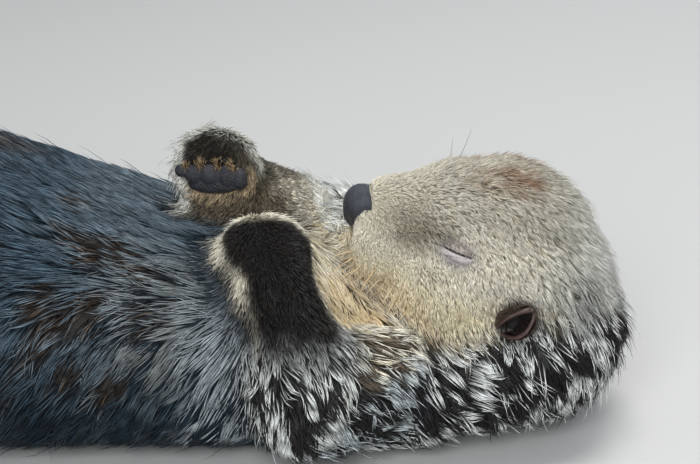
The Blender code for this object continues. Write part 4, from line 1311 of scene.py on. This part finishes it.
def ear_fur(word, layers, out):
    """Short dark hair on the back of the ear, and finer hair down in its hollow, darkened there as painted
    shade.
    """
    rows, columns = layers[0].shape[:2]
    # The last number of each part scales the hair's colour; the hollow's is low as painted shade.
    parts = (("back", layers[0], 1, 0.85, 1500, 1.2), ("hollow", layers[1], 2, 0.60, 900, 0.3))
    for part, layer, first, last, count, bright in parts:
        row = RANDOM.integers(first, int(last * rows), count)
        column = RANDOM.integers(2, columns - 2, count)
        root = layer[row, column]
        sheet = layers[0][row, column] - layers[1][row, column]
        normal = unit(sheet if part == "back" else -sheet)
        lean = tangent(np.tile(out, (count, 1)) + 0.25 * RANDOM.normal(size=(count, 3)), normal)
        reach = RANDOM.uniform(2.6, 5.0, count) * MM
        tone = np.exp(0.4 * RANDOM.normal(size=(count, 1)))
        tip = EAR_HAIR * tone * bright
        way, name = unit(lean + 0.30 * normal), f"ear_fur_{part}_{word}"
        tufts(name, root, way, normal, reach, 0.5, (0.4 * tip, tip), "fur_dark", 0.08)


WHISKER_STATIONS = np.linspace(0, 1, 8)


def whisker_roots(word, side, tree):
    """Root, way and length in millimetres of each whisker: four rows on the pad, two on the brow."""
    found = []
    for row in range(4):
        for place in range(6):
            back_by, up_by = 4.6 * place + 4 * row, -22 - 8 * row
            inside = NOSE + MM * (-(back_by + 16) * FRONT + up_by * UP)
            out = unit(side * ASIDE + (0.9 - 0.16 * place) * FRONT)
            hit = tree.ray_cast(Vector(inside + 0.08 * out), Vector(-out))[0]
            way = (0.80 - 0.09 * place) * FRONT + side * 0.34 * ASIDE - 0.55 * UP
            found.append((hit, unit(way + 0.12 * RANDOM.normal(size=3)), RANDOM.uniform(15, 26)))
    for place in range(2):
        start = EYE[word] + MM * ((13 - 4.5 * place) * FRONT + 60 * UP - side * 27 * ASIDE)
        hit = tree.ray_cast(Vector(start), Vector(-UP))[0]
        way = UP + (0.12 - 0.30 * place) * FRONT + side * 0.05 * ASIDE
        found.append((hit, unit(way), 20 + 9 * place))
    return [np.array(column) for column in zip(*(entry for entry in found if entry[0]))]


def make_whiskers(tree):
    """Stiff whiskers that fan down from the muzzle, and a few fine ones over each eye."""
    for word, side in SIDES.items():
        root, way, reach = whisker_roots(word, side, tree)
        reach = reach * MM
        sag = (reach[:, None] * WHISKER_STATIONS**2)[..., None] * np.array((0.06, 0, -0.20))
        sag[-2:] *= -0.5
        path = root[:, None] + way[:, None] * (reach[:, None] * WHISKER_STATIONS)[..., None] + sag
        path[:, :, 2] = np.maximum(path[:, :, 2], 0.001)
        sides = strand_frame(path, np.tile(side * ASIDE, (len(root), 1)), 0.2)
        widths = np.tile(0.80 * MM * (1 - 0.70 * WHISKER_STATIONS[1:-1]), (len(root), 1))
        tone = mixed(1.1 * ORANGE, CREAM, 0.3 + 0.6 * RANDOM.random(len(root)))
        tone[-2:] = mixed(SILVER, OLIVE, 0.5)
        shades = np.repeat(tone[:, None], len(WHISKER_STATIONS), axis=1)
        home = np.stack([(np.arange(len(root)) + 0.5) / len(root), np.full(len(root), 0.5)], 1)
        strand_piece(f"whiskers_{word}", path, sides, widths, shades, home, "fur_pale", 1.0)


def finish_claws():
    material = leather_material("claw_horn", (0.07, 0.06, 0.055), 400, 0.3, 0.0002)
    for node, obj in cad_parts.items():
        if node.startswith("hind_claw"):
            dress(obj, material)


# ---------------------------------------------------------------- the stage

VIEW_TARGET = Vector((0.3541, -0.020, 0.147))
VIEW_ELEVATION = math.radians(21)
VIEW_WIDTH = 0.483        # metres across the picture at the head


def aimed(obj, place, target):
    obj.location = place
    obj.rotation_euler = (target - place).to_track_quat("-Z", "Y").to_euler()
    return obj


def area_light(name, place, target, size, power, colour):
    data = bpy.data.lights.new(name, "AREA")
    data.shape = "DISK"
    data.size = size
    data.energy = power
    data.color = colour
    aimed(link(name, data), Vector(place), target)


def make_stage():
    form = bmesh.new()
    bmesh.ops.create_grid(form, x_segments=1, y_segments=1, size=6)
    floor = link("floor", mesh_of("floor", form))
    material, _, _, shader = new_material("floor")
    set_inputs(shader, Base_Color=(0.56, 0.56, 0.55, 1), Roughness=0.9)
    dress(floor, material)

    data = bpy.data.cameras.new("camera")
    data.lens, data.sensor_width = 135, 36
    distance = VIEW_WIDTH * data.lens / data.sensor_width
    back = Vector((0, -math.cos(VIEW_ELEVATION), math.sin(VIEW_ELEVATION)))
    target = VIEW_TARGET
    bpy.context.scene.camera = aimed(link("camera", data), target + distance * back, target)

    area_light("key", (0.60, 0.20, 1.8), target, 1.0, 20, (1, 0.98, 0.95))
    area_light("fill", (0.10, -1.9, 1.1), target, 1.2, 40, (0.96, 0.98, 1))
    area_light("back", (1.3, 1.5, 1.3), target, 1.4, 11, (0.94, 0.97, 1))
    world = bpy.data.worlds.new("studio")
    world.use_nodes = True
    background = world.node_tree.nodes["Background"]
    set_inputs(background, Color=(0.80, 0.86, 0.92, 1), Strength=0.36)
    bpy.context.scene.world = world
    bpy.context.scene.view_settings.view_transform = "Standard"


# ---------------------------------------------------------------- assembly

# Each part of the coat: the kinds of region that it covers and its slot, or one for each side.
COATS = {
    "muzzle": (("muzzle", "lower_jaw"), "fur_pale"),
    "head": (("head",), "fur_pale", "fur_pale"),
    "neck": (("neck",), "fur_pale"),
    "chest": (("chest",), "fur_grey", "fur_grey"),
    "belly": (("belly",), "fur_grey", "fur_grey"),
    "rump": (("rump",), "fur_dark"),
    "tail": (("tail",), "fur_dark"),
    "arm": (("upper_arm", "forearm", "forepaw"), "fur_grey", "fur_dark"),
    "leg": (("thigh", "shin", "hind_flipper"), "fur_dark", "fur_dark"),
}


def coat_pieces(skin):
    """Name, triangles of the skin and slot of each piece of the coat."""
    kinds = skin.weights[skin.triangles].mean(1).argmax(1)
    left = skin.points[skin.triangles].mean(1)[:, 1] < 0
    for part, (covered, *slots) in COATS.items():
        chosen = np.isin(kinds, [KINDS.index(kind) for kind in covered])
        if len(slots) == 1:
            yield f"coat_{part}", np.nonzero(chosen)[0], slots[0]
        else:
            yield f"coat_{part}_left", np.nonzero(chosen & left)[0], slots[0]
            yield f"coat_{part}_right", np.nonzero(chosen & ~left)[0], slots[1]


def bare_places(lids):
    """A test for where no fur grows: on the nose and the palm pads, and by the lids and ears."""
    def bare(points):
        found = on_nose(points)
        for word, side in SIDES.items():
            u, v = lids[word].shares(points)
            near_lid = np.linalg.norm(points - lids[word].middle, axis=1) < 0.02
            found |= near_lid & (np.hypot(u / 0.84, (v + 0.10) / 0.44) < 1)
            across, fingers, palm = paw_axes(word)
            offset = (points - PAD[word]) / MM
            flat = np.hypot(along(offset, across) / 21, along(offset, fingers) / 9)
            found |= (flat < 1) & (np.abs(along(offset, palm)) < 9)
            found |= near(points, EAR[word] - 0.012 * side * ASIDE, (9, 20, 9), 0.01) > 0.5
        return found

    return bare


def build():
    obj, weights = make_skin()
    skin = Skin(obj, weights)
    paint(obj.data, mixed(skin.root, skin.tip, np.full(len(skin.root), 0.05)))
    felt = [(NOISE, 700, 6, 0.6, 1.2)]
    flesh = [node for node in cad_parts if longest_prefix(node, (*KINDS, *SET_IN)) in KINDS]
    finished(obj, surface("underfur", 0.8, felt, (0.8, 0.001)), "fur_dark", *flesh)
    lids = {word: Lid(word, side, skin.tree) for word, side in SIDES.items()}
    bare = bare_places(lids)
    for name, chosen, slot in coat_pieces(skin):
        grow(name, skin, chosen, slot, bare)
    make_nose()
    make_pads()
    make_ears()
    make_lids(lids, skin.tree)
    make_whiskers(skin.tree)
    finish_claws()
    make_stage()


build()
